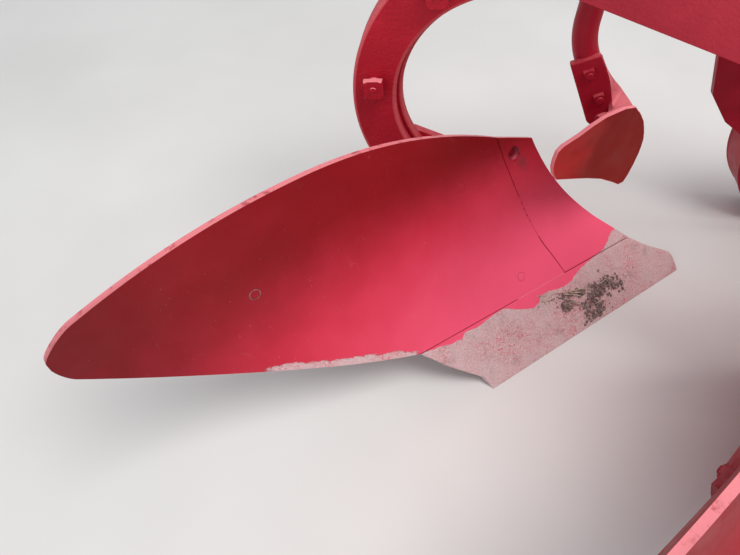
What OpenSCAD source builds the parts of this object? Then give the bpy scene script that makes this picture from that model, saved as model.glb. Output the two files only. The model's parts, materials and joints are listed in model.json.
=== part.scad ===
// Two-furrow mounted mouldboard plough that turns its furrows to the right.
// X is the direction of travel, Y points to the land side, Z is up. Lengths are in millimetres.

/* [Furrows] */
// Distance across from one body to the next
furrow_width = 215; // [200:5:300]
// Distance along from one body to the next
body_pitch = 556; // [520:2:620]
// Width that one share cuts
share_cut = 330; // [280:5:380]

/* [Share] */
// Angle between the cutting edge and the furrow wall
share_angle = 41.3; // [36:0.1:46]
// Height of the joint between share and mouldboard
share_height = 80; // [60:1:100]
// How far back the share reaches at that joint
share_setback = 124; // [90:1:160]
// Thickness of the share
share_plate = 11; // [8:0.5:16]

/* [Mouldboard] */
// Thickness of mouldboard and shin
board_plate = 9; // [6:0.5:14]
// Height of the rim at its highest place
rim_height = 410; // [340:5:460]
// Distance from the land side to that place
rim_peak = 305; // [240:5:360]
// Height of the rim where the shin ends
shin_rim_height = 320; // [280:5:360]
// Height of the shin's land side corner
shin_top_height = 291; // [250:1:330]
// Width of the shin at the rim
shin_top_width = 50; // [35:1:80]
// Width of the shin at the share
shin_foot_width = 112; // [80:1:140]
// Distance from the land side to the end of the tail
tail_reach = 556; // [480:1:640]
// Length of the rounding at the tail's end
tail_round = 32; // [15:1:60]
// Open joint between neighbouring wearing plates
joint_gap = 1; // [0.5:0.1:2]

/* [Leg] */
// Height of the centre of the leg's curve
leg_centre_height = 396; // [360:1:430]
// Distance of that centre behind the share point
leg_centre_back = 422; // [380:1:460]
// Outer radius of the leg's curve
leg_radius = 236; // [200:1:280]
// Inner radius of the leg's curve
leg_inner_radius = 156; // [120:1:180]
// How far the inner curve sits behind the outer one
leg_curve_shift = 13; // [0:1:30]
// How far the plate on the landside reaches inside the other one on the inner curve
leg_lip = 8; // [0:1:20]
// Thickness of each of the leg's two plates
leg_plate = 17; // [12:1:22]
// Space between the two plates
leg_space = 6; // [4:1:14]
// Thickness of the frog, between landside and leg
frog_plate = 14; // [10:1:20]

/* [Landside] */
// Height of the landside bar
landside_height = 92; // [70:1:120]
// Thickness of the landside bar
landside_plate = 14; // [10:1:20]
// Reach of the front body's landside behind its share point
landside_reach = 470; // [440:5:540]
// Extra reach of the rear body's landside
rear_landside_extra = 270; // [120:5:320]

/* [Frame] */
// Height of the underside of the frame
frame_height = 557; // [500:1:640]
// Height of the beams
beam_height = 120; // [90:1:150]
// Angle between the main beam and the direction of travel
beam_angle = 40.7; // [36:0.1:44]
// Width of the main beam
beam_width = 60; // [50:1:90]
// Width of the land side beam
land_beam_width = 50; // [40:1:80]
// Distance from the land side plane to the land side beam
land_beam_offset = 72; // [69:1:100]
// Distance from the rear share point to the back of the front cross tube
front_tube_x = 620; // [560:5:720]
// Length of the front cross tube's section
front_tube_depth = 90; // [70:1:120]

/* [Hitch] */
// Distance between the shoulders of the lower hitch pins
hitch_spread = 825; // [680:1:870]
// Diameter of the lower hitch pins
hitch_pin_diameter = 28; // [22:0.1:37]
// Free length of a lower hitch pin
hitch_pin_length = 110; // [90:1:140]
// Height of the lower hitch pins
hitch_pin_height = 480; // [400:5:560]
// Height of the top link bore over the lower pins
mast_height = 610; // [460:5:680]
// Diameter of the top link bore
top_bore_diameter = 25.7; // [19:0.1:32]
// Space between the mast plates
mast_space = 52; // [44:1:60]
// Offset of the hitch centre from the land side plane
hitch_offset = -80; // [-160:5:40]

/* [Skimmer] */
// Diameter of the skimmer's round shank
shank_diameter = 38; // [32:1:46]
// Distance of the shank behind the share point
shank_back = 315; // [300:1:330]
// Distance of the shank from the land side plane
shank_offset = 43; // [30:1:50]
// Height at which the shank bends
shank_bend_height = 450; // [435:1:470]
// Slant of the shank's lower end
shank_slant = 28; // [24:1:32]
// Thickness of the skimmer board
skimmer_plate = 7; // [5:0.5:10]

/* [Depth wheel] */
// Diameter of the depth wheel
wheel_diameter = 400; // [320:5:500]
// Width of the depth wheel
wheel_width = 90; // [60:5:130]
// Distance of the wheel's axle ahead of the rear share point
wheel_x = 290; // [240:5:340]
// Height of the pivot of the wheel arm
arm_pivot_height = 490; // [450:5:530]
// Thickness of the wheel arm
arm_plate = 16; // [12:1:24]
// Travel of the wheel arm in degrees
arm_travel = 30; // [15:1:32]

/* [Hidden] */

paint = [0.72, 0.08, 0.14];
dark_paint = [0.55, 0.06, 0.10];
worn = [0.66, 0.46, 0.46];
$fn = 40;

// Surface stations: [height, setback of the land side edge, angle of the level line]
stations = [
  [share_height, share_setback, share_angle - 0.8],
  [share_height + 21, share_setback + 36, share_angle - 0.7],
  [share_height + 52, share_setback + 88, share_angle - 0.4],
  [share_height + 94, share_setback + 142, share_angle + 0.2],
  [share_height + 139, share_setback + 185, share_angle + 1.1],
  [share_height + 189, share_setback + 221, share_angle + 2.2],
  [share_height + 230, share_setback + 244, share_angle + 3.2],
  [share_height + 275, share_setback + 263, share_angle + 4.2],
  [share_height + 340, share_setback + 287, share_angle + 5.6]
];
last_station = len(stations) - 1;

function station_below(z, i = 0) =
  i >= last_station - 1 || z < stations[i + 1][0] ? i : station_below(z, i + 1);

function station_slope(i, c) =
  let (a = max(i - 1, 0), b = min(i + 1, last_station))
  (stations[b][c] - stations[a][c]) / (stations[b][0] - stations[a][0]);

function station_value(z, c) =
  let (i = station_below(z))
  let (p = stations[i], q = stations[i + 1], h = q[0] - p[0], t = (z - p[0]) / h)
  let (t2 = t * t, t3 = t2 * t)
  (2 * t3 - 3 * t2 + 1) * p[c] + (t3 - 2 * t2 + t) * h * station_slope(i, c)
  + (3 * t2 - 2 * t3) * q[c] + (t3 - t2) * h * station_slope(i + 1, c);

function setback(z) = z <= share_height ? z * share_setback / share_height : station_value(z, 1);
function level_angle(z) = z <= share_height
  ? share_angle - 0.8 * z / share_height
  : station_value(z, 2);

// Point of the working surface, u across from the land side and z up
function face_point(u, z) = [-setback(z) - u / tan(level_angle(z)), -u, z];

function unit(v) = v / norm(v);
function face_normal(u, z) =
  let (d = 2, low = z < d ? z : z - d)
  unit(cross(face_point(u, z + d) - face_point(u, low), face_point(u + d, z) - face_point(u - d, z)));

function back_point(u, z, t) =
  let (p = face_point(u, z) - t * face_normal(u, z))
  [p[0], p[1], max(p[2], 0)];

// Level distance from the working surface to the back of a plate
function behind_face(u, z, t) = t / face_normal(u, z)[0];

// Closed slab between two matching point grids
module slab(front, back) {
  rows = len(front) - 1;
  cols = len(front[0]) - 1;
  width = cols + 1;
  half = (rows + 1) * width;
  points = concat([for (row = front) each row], [for (row = back) each row]);
  faces = concat(
    [for (j = [0:rows - 1], i = [0:cols - 1])
      [j * width + i, j * width + i + 1, (j + 1) * width + i + 1]],
    [for (j = [0:rows - 1], i = [0:cols - 1])
      [j * width + i, (j + 1) * width + i + 1, (j + 1) * width + i]],
    [for (j = [0:rows - 1], i = [0:cols - 1])
      [half + (j + 1) * width + i + 1, half + j * width + i + 1, half + j * width + i]],
    [for (j = [0:rows - 1], i = [0:cols - 1])
      [half + (j + 1) * width + i, half + (j + 1) * width + i + 1, half + j * width + i]],
    [for (i = [0:cols - 1]) [i + 1, i, half + i]],
    [for (i = [0:cols - 1]) [i + 1, half + i, half + i + 1]],
    [for (i = [0:cols - 1]) [rows * width + i, rows * width + i + 1, half + rows * width + i + 1]],
    [for (i = [0:cols - 1]) [rows * width + i, half + rows * width + i + 1, half + rows * width + i]],
    [for (j = [0:rows - 1]) [j * width, (j + 1) * width, half + (j + 1) * width]],
    [for (j = [0:rows - 1]) [j * width, half + (j + 1) * width, half + j * width]],
    [for (j = [0:rows - 1]) [(j + 1) * width + cols, j * width + cols, half + j * width + cols]],
    [for (j = [0:rows - 1]) [(j + 1) * width + cols, half + j * width + cols, half + (j + 1) * width + cols]]
  );
  polyhedron(points = points, faces = faces, convexity = 6);
}

// Mouldboard outline, seen from the front
function rim_z(u) = u < rim_peak
  ? rim_height - (rim_height - shin_rim_height)
    * pow((rim_peak - u) / (rim_peak - shin_top_width), 2.05)
  : rim_height - 51 * pow((u - rim_peak) / (tail_reach - rim_peak - 26), 2.3);
function keel_z(u) = u <= share_cut - 2
  ? share_height + joint_gap
  : share_height + joint_gap + 0.41 * (u - share_cut + 2) + 0.00222 * pow(u - share_cut + 2, 2);
function tail_scale(u, r) = u <= tail_reach - r ? 1 : sqrt(max(0, 1 - pow((u - tail_reach + r) / r, 2)));
function tail_middle(u) = (rim_z(u) + keel_z(u)) / 2;
function top_z(u) = tail_middle(u) + (rim_z(u) - tail_middle(u)) * tail_scale(u, tail_round);
function low_z(u) = tail_middle(u) - (tail_middle(u) - keel_z(u)) * tail_scale(u, tail_round / 3);
function shin_width(t) = shin_top_width + (shin_foot_width - shin_top_width) * pow(1 - t, 2.6);

board_rows = 14;
board_cols = 36;
function board_share(i) =
  let (q = i / board_cols)
  (q < 0.7 ? q * 1.22 : 0.854 + 0.146 * sin((q - 0.7) * 300)) * 0.999;
function board_uz(i, j) =
  let (t = j / board_rows, left = shin_width(t) + joint_gap)
  let (u = left + (tail_reach - left) * board_share(i))
  [u, low_z(u) + (top_z(u) - low_z(u)) * t];
board_front = [for (j = [0:board_rows]) [for (i = [0:board_cols])
  let (q = board_uz(i, j)) face_point(q[0], q[1])]];
board_back = [for (j = [0:board_rows]) [for (i = [0:board_cols])
  let (q = board_uz(i, j)) back_point(q[0], q[1], board_plate)]];

// Whole extent, for the origin at the middle of the base
board_xs = [for (row = board_back) each [for (p = row) p[0]]];
board_ys = [for (row = board_front) each [for (p = row) p[1]]];
hitch_x = front_tube_x + front_tube_depth + 30;
hitch_eye = 42;
extent_x = [min(board_xs), hitch_x + hitch_eye];
hitch_left = hitch_offset + hitch_spread / 2;
hitch_right = hitch_offset - hitch_spread / 2;
extent_y = [min(board_ys) - furrow_width, hitch_left + hitch_pin_length];
middle = [(extent_x[0] + extent_x[1]) / 2, (extent_y[0] + extent_y[1]) / 2, 0];

module whole() {
  translate(-middle) children();
}

module body_place(i) {
  whole() translate([i * body_pitch, -i * furrow_width, 0]) children();
}

// Outline in X and Z, made solid towards the ploughed side from y_max
module side_plate(y_max, t, points) {
  translate([0, y_max, 0]) rotate([90, 0, 0]) linear_extrude(height = t) polygon(points);
}

module cross_pin(x, y_max, z, d, length) {
  translate([x, y_max, z]) rotate([90, 0, 0]) cylinder(h = length, d = d);
}

// Frame
frame_top = frame_height + beam_height;
beam_slope = -tan(beam_angle);
beam_lean = 1 / cos(beam_angle);
beam_near_x = -283;
beam_near_y = -153;
function beam_near(x) = beam_near_y + beam_slope * (x - beam_near_x);
function beam_far(x) = beam_near(x) + beam_width * beam_lean;
function beam_near_at(y) = beam_near_x + (y - beam_near_y) / beam_slope;
function beam_far_at(y) = beam_near_at(y - beam_width * beam_lean);
beam_rear_x = -leg_centre_back - 178;
// Ahead of its bend the beam runs straight, and the front leg's outer plate lies against its far side
leg_offset = landside_plate + frog_plate;
straight_far = -furrow_width - leg_offset - 2 * leg_plate - leg_space;
straight_near = straight_far - beam_width;

module plan_plate(z, t, points) {
  translate([0, 0, z]) linear_extrude(height = t) polygon(points);
}

module main_beam() {
  color(paint) whole() plan_plate(frame_height, beam_height, [
    [beam_rear_x, beam_near(beam_rear_x)],
    [beam_near_at(straight_near), straight_near],
    [front_tube_x, straight_near],
    [front_tube_x, straight_far],
    [beam_far_at(straight_far), straight_far],
    [beam_rear_x, beam_far(beam_rear_x)]
  ]);
}

land_beam_left = land_beam_offset + land_beam_width;
module land_beam() {
  color(paint) whole() plan_plate(frame_height, beam_height, [
    [beam_far_at(land_beam_offset), land_beam_offset],
    [front_tube_x, land_beam_offset],
    [front_tube_x, land_beam_left],
    [beam_far_at(land_beam_left), land_beam_left]
  ]);
}

hitch_plate = 20;
module front_tube() {
  color(paint) whole()
    translate([front_tube_x, hitch_right + hitch_plate, frame_height])
      cube([front_tube_depth, hitch_spread - 2 * hitch_plate, beam_height]);
}

mid_tube_gap = 11;
clamp_wall = 14;
mid_tube_x = body_pitch - shank_back + shank_diameter / 2 + clamp_wall + mid_tube_gap;
mid_tube_size = 60;
module mid_tube() {
  color(paint) whole()
    translate([mid_tube_x, straight_far, frame_top - mid_tube_size])
      cube([mid_tube_size, land_beam_offset - straight_far, mid_tube_size]);
}

// Hitch plates with their pins, at the ends of the front tube
module hitch_side(y_max) {
  tube_front = front_tube_x + front_tube_depth;
  difference() {
    union() {
      side_plate(y_max, hitch_plate, [
        [front_tube_x, frame_height - 12],
        [hitch_x - hitch_eye, hitch_pin_height - 6],
        [hitch_x - 20, hitch_pin_height - 37],
        [hitch_x + hitch_eye - 3, hitch_pin_height + 14],
        [tube_front + 16, frame_top - 20],
        [tube_front, frame_top],
        [front_tube_x, frame_top]
      ]);
      cross_pin(hitch_x, y_max, hitch_pin_height, 2 * hitch_eye, hitch_plate);
    }
  }
}

module hitch_plate_left() {
  color(paint) whole() {
    hitch_side(hitch_left);
    cross_pin(hitch_x, hitch_left + hitch_pin_length, hitch_pin_height,
      hitch_pin_diameter, hitch_pin_length);
  }
}

module hitch_plate_right() {
  color(paint) whole() {
    hitch_side(hitch_right + hitch_plate);
    cross_pin(hitch_x, hitch_right, hitch_pin_height, hitch_pin_diameter, hitch_pin_length);
  }
}

mast_plate = 16;
mast_top = hitch_pin_height + mast_height;
mast_x = hitch_x - 40;
mast_eye = 40;
module mast_side(y_max) {
  difference() {
    union() {
      side_plate(y_max, mast_plate, [
        [front_tube_x - 60, frame_top],
        [front_tube_x + front_tube_depth, frame_top],
        [mast_x + mast_eye, mast_top - 30],
        [mast_x + mast_eye - 1, mast_top + 6],
        [mast_x - mast_eye + 1, mast_top + 6],
        [mast_x - mast_eye, mast_top - 60]
      ]);
      cross_pin(mast_x, y_max, mast_top, 2 * mast_eye, mast_plate);
    }
    cross_pin(mast_x, y_max + 1, mast_top, top_bore_diameter, mast_plate + 2);
  }
}

module mast_left() {
  color(paint) whole() mast_side(hitch_offset + mast_space / 2 + mast_plate);
}

module mast_right() {
  color(paint) whole() mast_side(hitch_offset - mast_space / 2);
}

brace_depth = 14;
brace_down = 110;
brace_spread = 330;
brace_width = 60;
module mast_brace(side) {
  inner = hitch_offset + side * (mast_space / 2 + mast_plate);
  outer = hitch_offset + side * brace_spread;
  color(paint) whole() translate([mast_x - 30, 0, 0]) rotate([90, 0, 90])
    linear_extrude(height = brace_depth) polygon([
      [inner, mast_top - brace_down],
      [inner, mast_top - brace_down - brace_width],
      [outer - side * brace_width, frame_top],
      [outer, frame_top]
    ]);
}

module mast_brace_left() {
  mast_brace(1);
}

module mast_brace_right() {
  mast_brace(-1);
}

stay_plate = 16;
stay_deep = 34;
module mast_stay() {
  rear_x = mid_tube_x;
  color(paint) whole() side_plate(hitch_offset + stay_plate / 2, stay_plate, [
    [rear_x, frame_top],
    [rear_x + mid_tube_size, frame_top],
    [mast_x - mast_eye + stay_deep, mast_top - brace_down],
    [mast_x - mast_eye + stay_deep, mast_top - 60],
    [mast_x - mast_eye, mast_top - 50],
    [rear_x, frame_top + stay_deep]
  ]);
}

// Legs
leg_far = -leg_offset;
leg_gap_far = leg_far - leg_plate;
leg_gap_near = leg_gap_far - leg_space;
leg_near = leg_gap_near - leg_plate;

// The open side of the curve: in front of the frog's top and under the board
leg_toe = [[-leg_centre_back - 20, leg_centre_height - 130], [-leg_centre_back + 44, leg_centre_height - 250]];
module leg_sector(y_max, t, lip, top_x) {
  reach = 2 * leg_radius;
  difference() {
    cross_pin(-leg_centre_back, y_max, leg_centre_height, 2 * leg_radius, t, $fn = 72);
    cross_pin(-leg_centre_back - leg_curve_shift, y_max + 1, leg_centre_height,
      2 * (leg_inner_radius - lip), t + 2, $fn = 72);
    side_plate(y_max + 1, t + 2, concat(leg_toe, [
      [-leg_centre_back + reach, leg_centre_height - reach],
      [-leg_centre_back + reach, leg_centre_height + reach],
      [top_x, leg_centre_height + reach],
      [top_x, leg_centre_height]
    ]));
  }
}

// Where a leg's plate ends at the top
leg_front = -leg_centre_back + 37;
function leg_end(i, y) = i == 0 ? beam_near_at(y) - 3 : leg_front;

module leg_outer(i) {
  color(paint) body_place(i) leg_sector(leg_gap_near, leg_plate, 0, leg_end(i, leg_gap_near));
}

module leg_inner(i) {
  color(dark_paint) body_place(i) leg_sector(leg_far, leg_plate, leg_lip, leg_end(i, leg_far));
}

module rear_leg_outer() {
  leg_outer(0);
}

module front_leg_outer() {
  leg_outer(1);
}

module rear_leg_inner() {
  leg_inner(0);
}

module front_leg_inner() {
  leg_inner(1);
}

// Tongue between the leg's plates, cut along their curve. The rear one hangs from a wedge on the beam's near side, over the inner plate
tongue_low = frame_height - 40;
tongue_margin = 4;
tongue_rise = 60;
bridge_gap = 4;
bridge_plate = 41;
leg_top = leg_centre_height + leg_radius;
bridge_low = leg_top + bridge_gap;
bridge_top = bridge_low + bridge_plate;
module leg_bracket(i) {
  rear = -leg_centre_back - 158;
  near_end = i == 0 ? beam_near_at(leg_gap_near) : leg_front;
  far_end = i == 0 ? beam_near_at(leg_gap_far) : leg_front;
  top = i == 0 ? bridge_top : frame_height + tongue_rise;
  color(paint) body_place(i) {
    difference() {
      plan_plate(tongue_low, top - tongue_low, [
        [rear, leg_gap_near],
        [near_end, leg_gap_near],
        [far_end, leg_gap_far],
        [rear, leg_gap_far]
      ]);
      cross_pin(-leg_centre_back - leg_curve_shift, leg_gap_far + 1, leg_centre_height,
        2 * (leg_inner_radius + tongue_margin), leg_space + 2, $fn = 72);
    }
    if (i == 0) {
      plan_plate(frame_height, bridge_top - frame_height, [
        [rear, leg_far],
        [beam_near_at(leg_far), leg_far],
        [rear, beam_near(rear)]
      ]);
      plan_plate(bridge_low, bridge_plate, [
        [rear, leg_gap_near],
        [near_end, leg_gap_near],
        [beam_near_at(leg_far + bridge_gap), leg_far + bridge_gap],
        [rear, leg_far + bridge_gap]
      ]);
    }
  }
}

module rear_leg_bracket() {
  leg_bracket(0);
}

module front_leg_bracket() {
  leg_bracket(1);
}

// Frog, between landside and leg, with a wing that backs share and mouldboard
frog_heights = [24, 40, 60, 78, 90, 110, 130, 150, 170, 190, 210, 230, 248];
function behind_plate(z) = z < share_height + 6 ? share_plate : board_plate;
function frog_front(z) =
  face_point(leg_offset, z)[0] - behind_face(leg_offset, z, behind_plate(z)) - 0.6;
// Wing rows: [height, reach across]
wing_rows = [
  [share_height - 30, share_cut - 60],
  [share_height - 10, share_cut - 55],
  [share_height + 4, share_cut - 68],
  [share_height + 20, share_cut - 125],
  [share_height + 42, share_cut - 158],
  [share_height + 76, share_cut - 180],
  [share_height + 108, share_cut - 205]
];
wing_cols = 6;
wing_plate = 9;
wing_gap = 2.2;
function wing_point(r, c, t) =
  let (from = leg_offset - 2)
  back_point(from + (r[1] - from) * c / wing_cols, r[0], behind_plate(r[0]) + wing_gap + t);
module frog(i) {
  color(dark_paint) body_place(i) {
    side_plate(-landside_plate, frog_plate, concat(
      [for (z = frog_heights) [frog_front(z), z]],
      [
        [-leg_centre_back - 138, leg_centre_height - 87],
        [-leg_centre_back - 176, leg_centre_height - 100],
        [-leg_centre_back - 138, leg_centre_height - 181],
        [-leg_centre_back - 78, leg_centre_height - 231],
        [-landside_reach + 20, landside_height + 4],
        [-landside_reach + 20, 24]
      ]
    ));
    slab(
      [for (r = wing_rows) [for (c = [0:wing_cols]) wing_point(r, c, 0)]],
      [for (r = wing_rows) [for (c = [0:wing_cols]) wing_point(r, c, wing_plate)]]
    );
  }
}

module rear_frog() {
  frog(0);
}

module front_frog() {
  frog(1);
}

// Landside bar, the rear one longer
module landside(i) {
  reach = landside_reach + (i == 0 ? rear_landside_extra : 0);
  color(dark_paint) body_place(i) side_plate(0, landside_plate, [
    [-landside_front(landside_plate, 0), 0],
    [-landside_front(landside_plate, landside_height), landside_height],
    [-reach + 40, landside_height],
    [-reach, landside_height - 46],
    [-reach, 0]
  ]);
}
function landside_front(u, z) =
  -face_point(u, z)[0] + behind_face(u, z, share_plate) + 0.6;

module rear_landside() {
  landside(0);
}

module front_landside() {
  landside(1);
}

// Share rows: [height, nose towards the land side, reach across]
share_rows = [
  [0, 0, share_cut],
  [7, 6, share_cut - 4],
  [18, 14, share_cut - 10],
  [24, 18, share_cut - 9],
  [31, 20, share_cut - 7],
  [41, 15, share_cut - 5],
  [53, 8, share_cut - 3],
  [66, 3, share_cut - 3],
  [share_height, 0, share_cut - 2]
];
share_cols = 10;
function share_across(r, c) = -r[1] + (r[2] + r[1]) * c / share_cols;
module share(i) {
  color(worn) body_place(i) slab(
    [for (r = share_rows) [for (c = [0:share_cols]) face_point(share_across(r, c), r[0])]],
    [for (r = share_rows) [for (c = [0:share_cols])
      back_point(share_across(r, c), r[0], r[0] < 2 ? 3 : r[0] < 10 ? share_plate * 0.7 : share_plate)]]
  );
}

module rear_share() {
  share(0);
}

module front_share() {
  share(1);
}

// Shin piece
shin_rows = 14;
shin_cols = 4;
function shin_uz(c, j) =
  let (t = j / shin_rows, u = shin_width(t) * c / shin_cols)
  let (top = shin_top_height + (shin_rim_height - shin_top_height) * u / shin_top_width)
  [u, share_height + joint_gap + (top - share_height - joint_gap) * t];
module shin(i) {
  color(paint) body_place(i) slab(
    [for (j = [0:shin_rows]) [for (c = [0:shin_cols])
      let (q = shin_uz(c, j)) face_point(q[0], q[1])]],
    [for (j = [0:shin_rows]) [for (c = [0:shin_cols])
      let (q = shin_uz(c, j)) back_point(q[0], q[1], board_plate)]]
  );
}

module rear_shin() {
  shin(0);
}

module front_shin() {
  shin(1);
}

module mouldboard(i) {
  color(paint) body_place(i) slab(board_front, board_back);
}

module rear_mouldboard() {
  mouldboard(0);
}

module front_mouldboard() {
  mouldboard(1);
}

// Round bar between two points
module rod(a, b, d) {
  v = b - a;
  translate(a) rotate([0, acos(v[2] / norm(v)), atan2(v[1], v[0])]) cylinder(h = norm(v), d = d);
}

// Stay from a lug on the frog to a pad behind the mouldboard
stay_reach = 335;
stay_height = 230;
stay_diameter = 22;
stay_lug = [44, 22, 40];
seat_gap = 0.4;
pad_size = 25;
pad_plate = 14;
// Patch that follows the back of the mouldboard
module back_pad(u, z, half, t) {
  steps = [-1, 0, 1];
  slab(
    [for (j = steps) [for (i = steps) back_point(u + i * half, z + j * half, board_plate + seat_gap)]],
    [for (j = steps) [for (i = steps) back_point(u + i * half, z + j * half, board_plate + seat_gap + t)]]
  );
}

module body_stay(i) {
  pad = back_point(stay_reach, stay_height, board_plate + seat_gap + pad_plate - 2);
  lug = [-landside_reach + 24, -leg_offset - stay_lug[1], landside_height / 2 - 10];
  foot = lug + [stay_lug[0] / 2, stay_lug[1] / 2, stay_lug[2] / 2 + 6];
  color(dark_paint) body_place(i) {
    translate(lug) cube(stay_lug);
    rod(foot, pad, stay_diameter);
    back_pad(stay_reach, stay_height, pad_size, pad_plate);
  }
}

module rear_stay() {
  body_stay(0);
}

module front_stay() {
  body_stay(1);
}

// Skimmer shank clamp on the main beam's land side face. The rear one fills the space to the land beam
clamp_height = 64;
clamp_low = frame_height + 26;
clamp_corner = 12;
module skim_clamp(i) {
  half = shank_diameter / 2 + clamp_wall;
  x = i * body_pitch - shank_back;
  y = shank_offset - i * furrow_width;
  near_left = i == 0 ? beam_far(x - half) : straight_far;
  near_right = i == 0 ? beam_far(x + half) : straight_far;
  end = i == 0 ? land_beam_offset : y + half;
  corner = i == 0 ? 0 : clamp_corner;
  color(paint) whole() difference() {
    plan_plate(clamp_low, clamp_height, [
      [x - half, near_left],
      [x + half, near_right],
      [x + half, end - corner],
      [x + half - corner, end],
      [x - half + corner, end],
      [x - half, end - corner]
    ]);
    translate([x, y, clamp_low - 1]) cylinder(h = clamp_height + 2, d = shank_diameter + 0.4);
  }
}

module rear_skim_clamp() {
  skim_clamp(0);
}

module front_skim_clamp() {
  skim_clamp(1);
}

// The forged bend is a little thicker than the bar, and the bar's ends lie inside it
shank_top = frame_top + 30;
shank_bend_radius = 120;
shank_upset = 0.8;
shank_bite = 4;
slant_length = 116;
// The lower end is flat where the bracket sits
shank_flat = 12;
flat_start = 21;
module skim_shank(i) {
  rise = shank_bend_radius * tan(shank_slant / 2);
  color(paint) body_place(i) translate([-shank_back, shank_offset, shank_bend_height]) difference() {
    union() {
      translate([0, 0, rise - shank_bite])
        cylinder(h = shank_top - shank_bend_height - rise + shank_bite, d = shank_diameter);
      translate([shank_bend_radius, 0, rise]) rotate([-90, 0, 0]) rotate([0, 0, 180 - shank_slant])
        rotate_extrude(angle = shank_slant) translate([shank_bend_radius, 0])
          circle(d = shank_diameter + shank_upset);
      rotate([0, 180 - shank_slant, 0]) translate([0, 0, rise - shank_bite])
        cylinder(h = slant_length - rise + shank_bite, d = shank_diameter);
    }
    rotate([0, 180 - shank_slant, 0]) translate([-shank_diameter, -shank_flat - shank_diameter, flat_start])
      cube([2 * shank_diameter, shank_diameter, slant_length]);
  }
}

module rear_skim_shank() {
  skim_shank(0);
}

module front_skim_shank() {
  skim_shank(1);
}

// Skimmer board: its leading corner and its angle to the direction of travel
skim_corner = [-158, 30];
skim_angle = 40;
// Skimmer outline rows: [height, land side end, ploughed side end, hollow]
skim_rows = [
  [199, 18, 9, 0],
  [211, 25, -1, 3],
  [234, 31, -24, 6],
  [253, 34, -50, 8],
  [270, 34, -77, 9],
  [285, 32, -101, 9],
  [302, 27, -109, 9],
  [316, 22, -113, 9],
  [331, 15, -115, 8],
  [349, 3, -116, 6],
  [358, -4, -112, 4],
  [366, -11, -93, 3],
  [376, -19, -80, 1],
  [383, -37, -64, 0]
];
skim_cols = 2;
function skim_point(r, c) =
  let (y = r[1] + (r[2] - r[1]) * c / skim_cols)
  [skim_corner[0] - r[3] - (skim_corner[1] - y) / tan(skim_angle), y, r[0]];
skim_normal = [sin(skim_angle), -cos(skim_angle), 0];
module skim_board(i) {
  front = [for (r = skim_rows) [for (c = [0:skim_cols]) skim_point(r, c)]];
  back = [for (row = front) [for (p = row) p - skimmer_plate * unit(skim_normal)]];
  color(dark_paint) body_place(i) slab(front, back);
}

module rear_skim_board() {
  skim_board(0);
}

module front_skim_board() {
  skim_board(1);
}

// Cast bracket: a plate on the shank's flat, a web that runs out to the board's top, and a pad on its back
bracket_plate = 14;
web_depth = [3, 8, -5];
// Plate corners: [along the slanted shank from its bend, across it]
bracket_corners = [[23, -26], [26, 20], [52, 23], [77, 24], [98, 22], [117, 19]];
bracket_heel = [[145, -20], [136, -25]];
// Heights where the plate stands on the back of the board
bracket_seat = [318, 288];
function slant_point(q) = [
  -shank_back + q[0] * sin(shank_slant) + q[1] * cos(shank_slant),
  shank_bend_height - q[0] * cos(shank_slant) + q[1] * sin(shank_slant)
];
function skim_behind(y, z, t) =
  let (hollow = lookup(z, [for (r = skim_rows) [r[0], r[3]]]))
  [skim_corner[0] - hollow - (skim_corner[1] - y) / tan(skim_angle) - t / sin(skim_angle), y, z];
// Pad rows: [height, land side end, ploughed side end]
pad_rows = [[331, 10, -45], [349, 0, -45], [358, -7, -45], [366, -14, -46], [374, -21, -47]];
pad_cols = 1;
function pad_point(r, c, t) = skim_behind(r[1] + (r[2] - r[1]) * c / pad_cols, r[0], skimmer_plate + seat_gap + t);
// Web rows: [plate corner where it starts, y and z where it meets the pad]
web_rows = [[1, -9, 354], [3, -22, 368], [5, -42, 369]];
module skim_bracket(i) {
  face = shank_offset - shank_flat;
  low = face - bracket_plate;
  plate = [for (q = bracket_corners) slant_point(q)];
  web = [for (r = web_rows) [
    [plate[r[0]][0] - 4, low + 5, plate[r[0]][1] - 4],
    skim_behind(r[1], r[2], skimmer_plate + seat_gap + 2.5)
  ]];
  color(paint) body_place(i) {
    side_plate(face, bracket_plate, concat(
      plate,
      [for (z = bracket_seat) [skim_behind(low, z, skimmer_plate)[0] - 0.6, z]],
      [for (q = bracket_heel) slant_point(q)]
    ));
    slab(web, [for (row = web) [for (p = row) p + web_depth]]);
    slab(
      [for (r = pad_rows) [for (c = [0:pad_cols]) pad_point(r, c, 0)]],
      [for (r = pad_rows) [for (c = [0:pad_cols]) pad_point(r, c, 10)]]
    );
  }
}

module rear_skim_bracket() {
  skim_bracket(0);
}

module front_skim_bracket() {
  skim_bracket(1);
}

// Depth wheel
wheel_radius = wheel_diameter / 2;
arm_pivot_x = -20;
arm_pivot_diameter = 30;
bracket_depth = 16;
arm_near = land_beam_left + bracket_depth + 0.4;
arm_far = arm_near + arm_plate;
wheel_near = arm_far + 14;
axle_diameter = 30;
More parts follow.
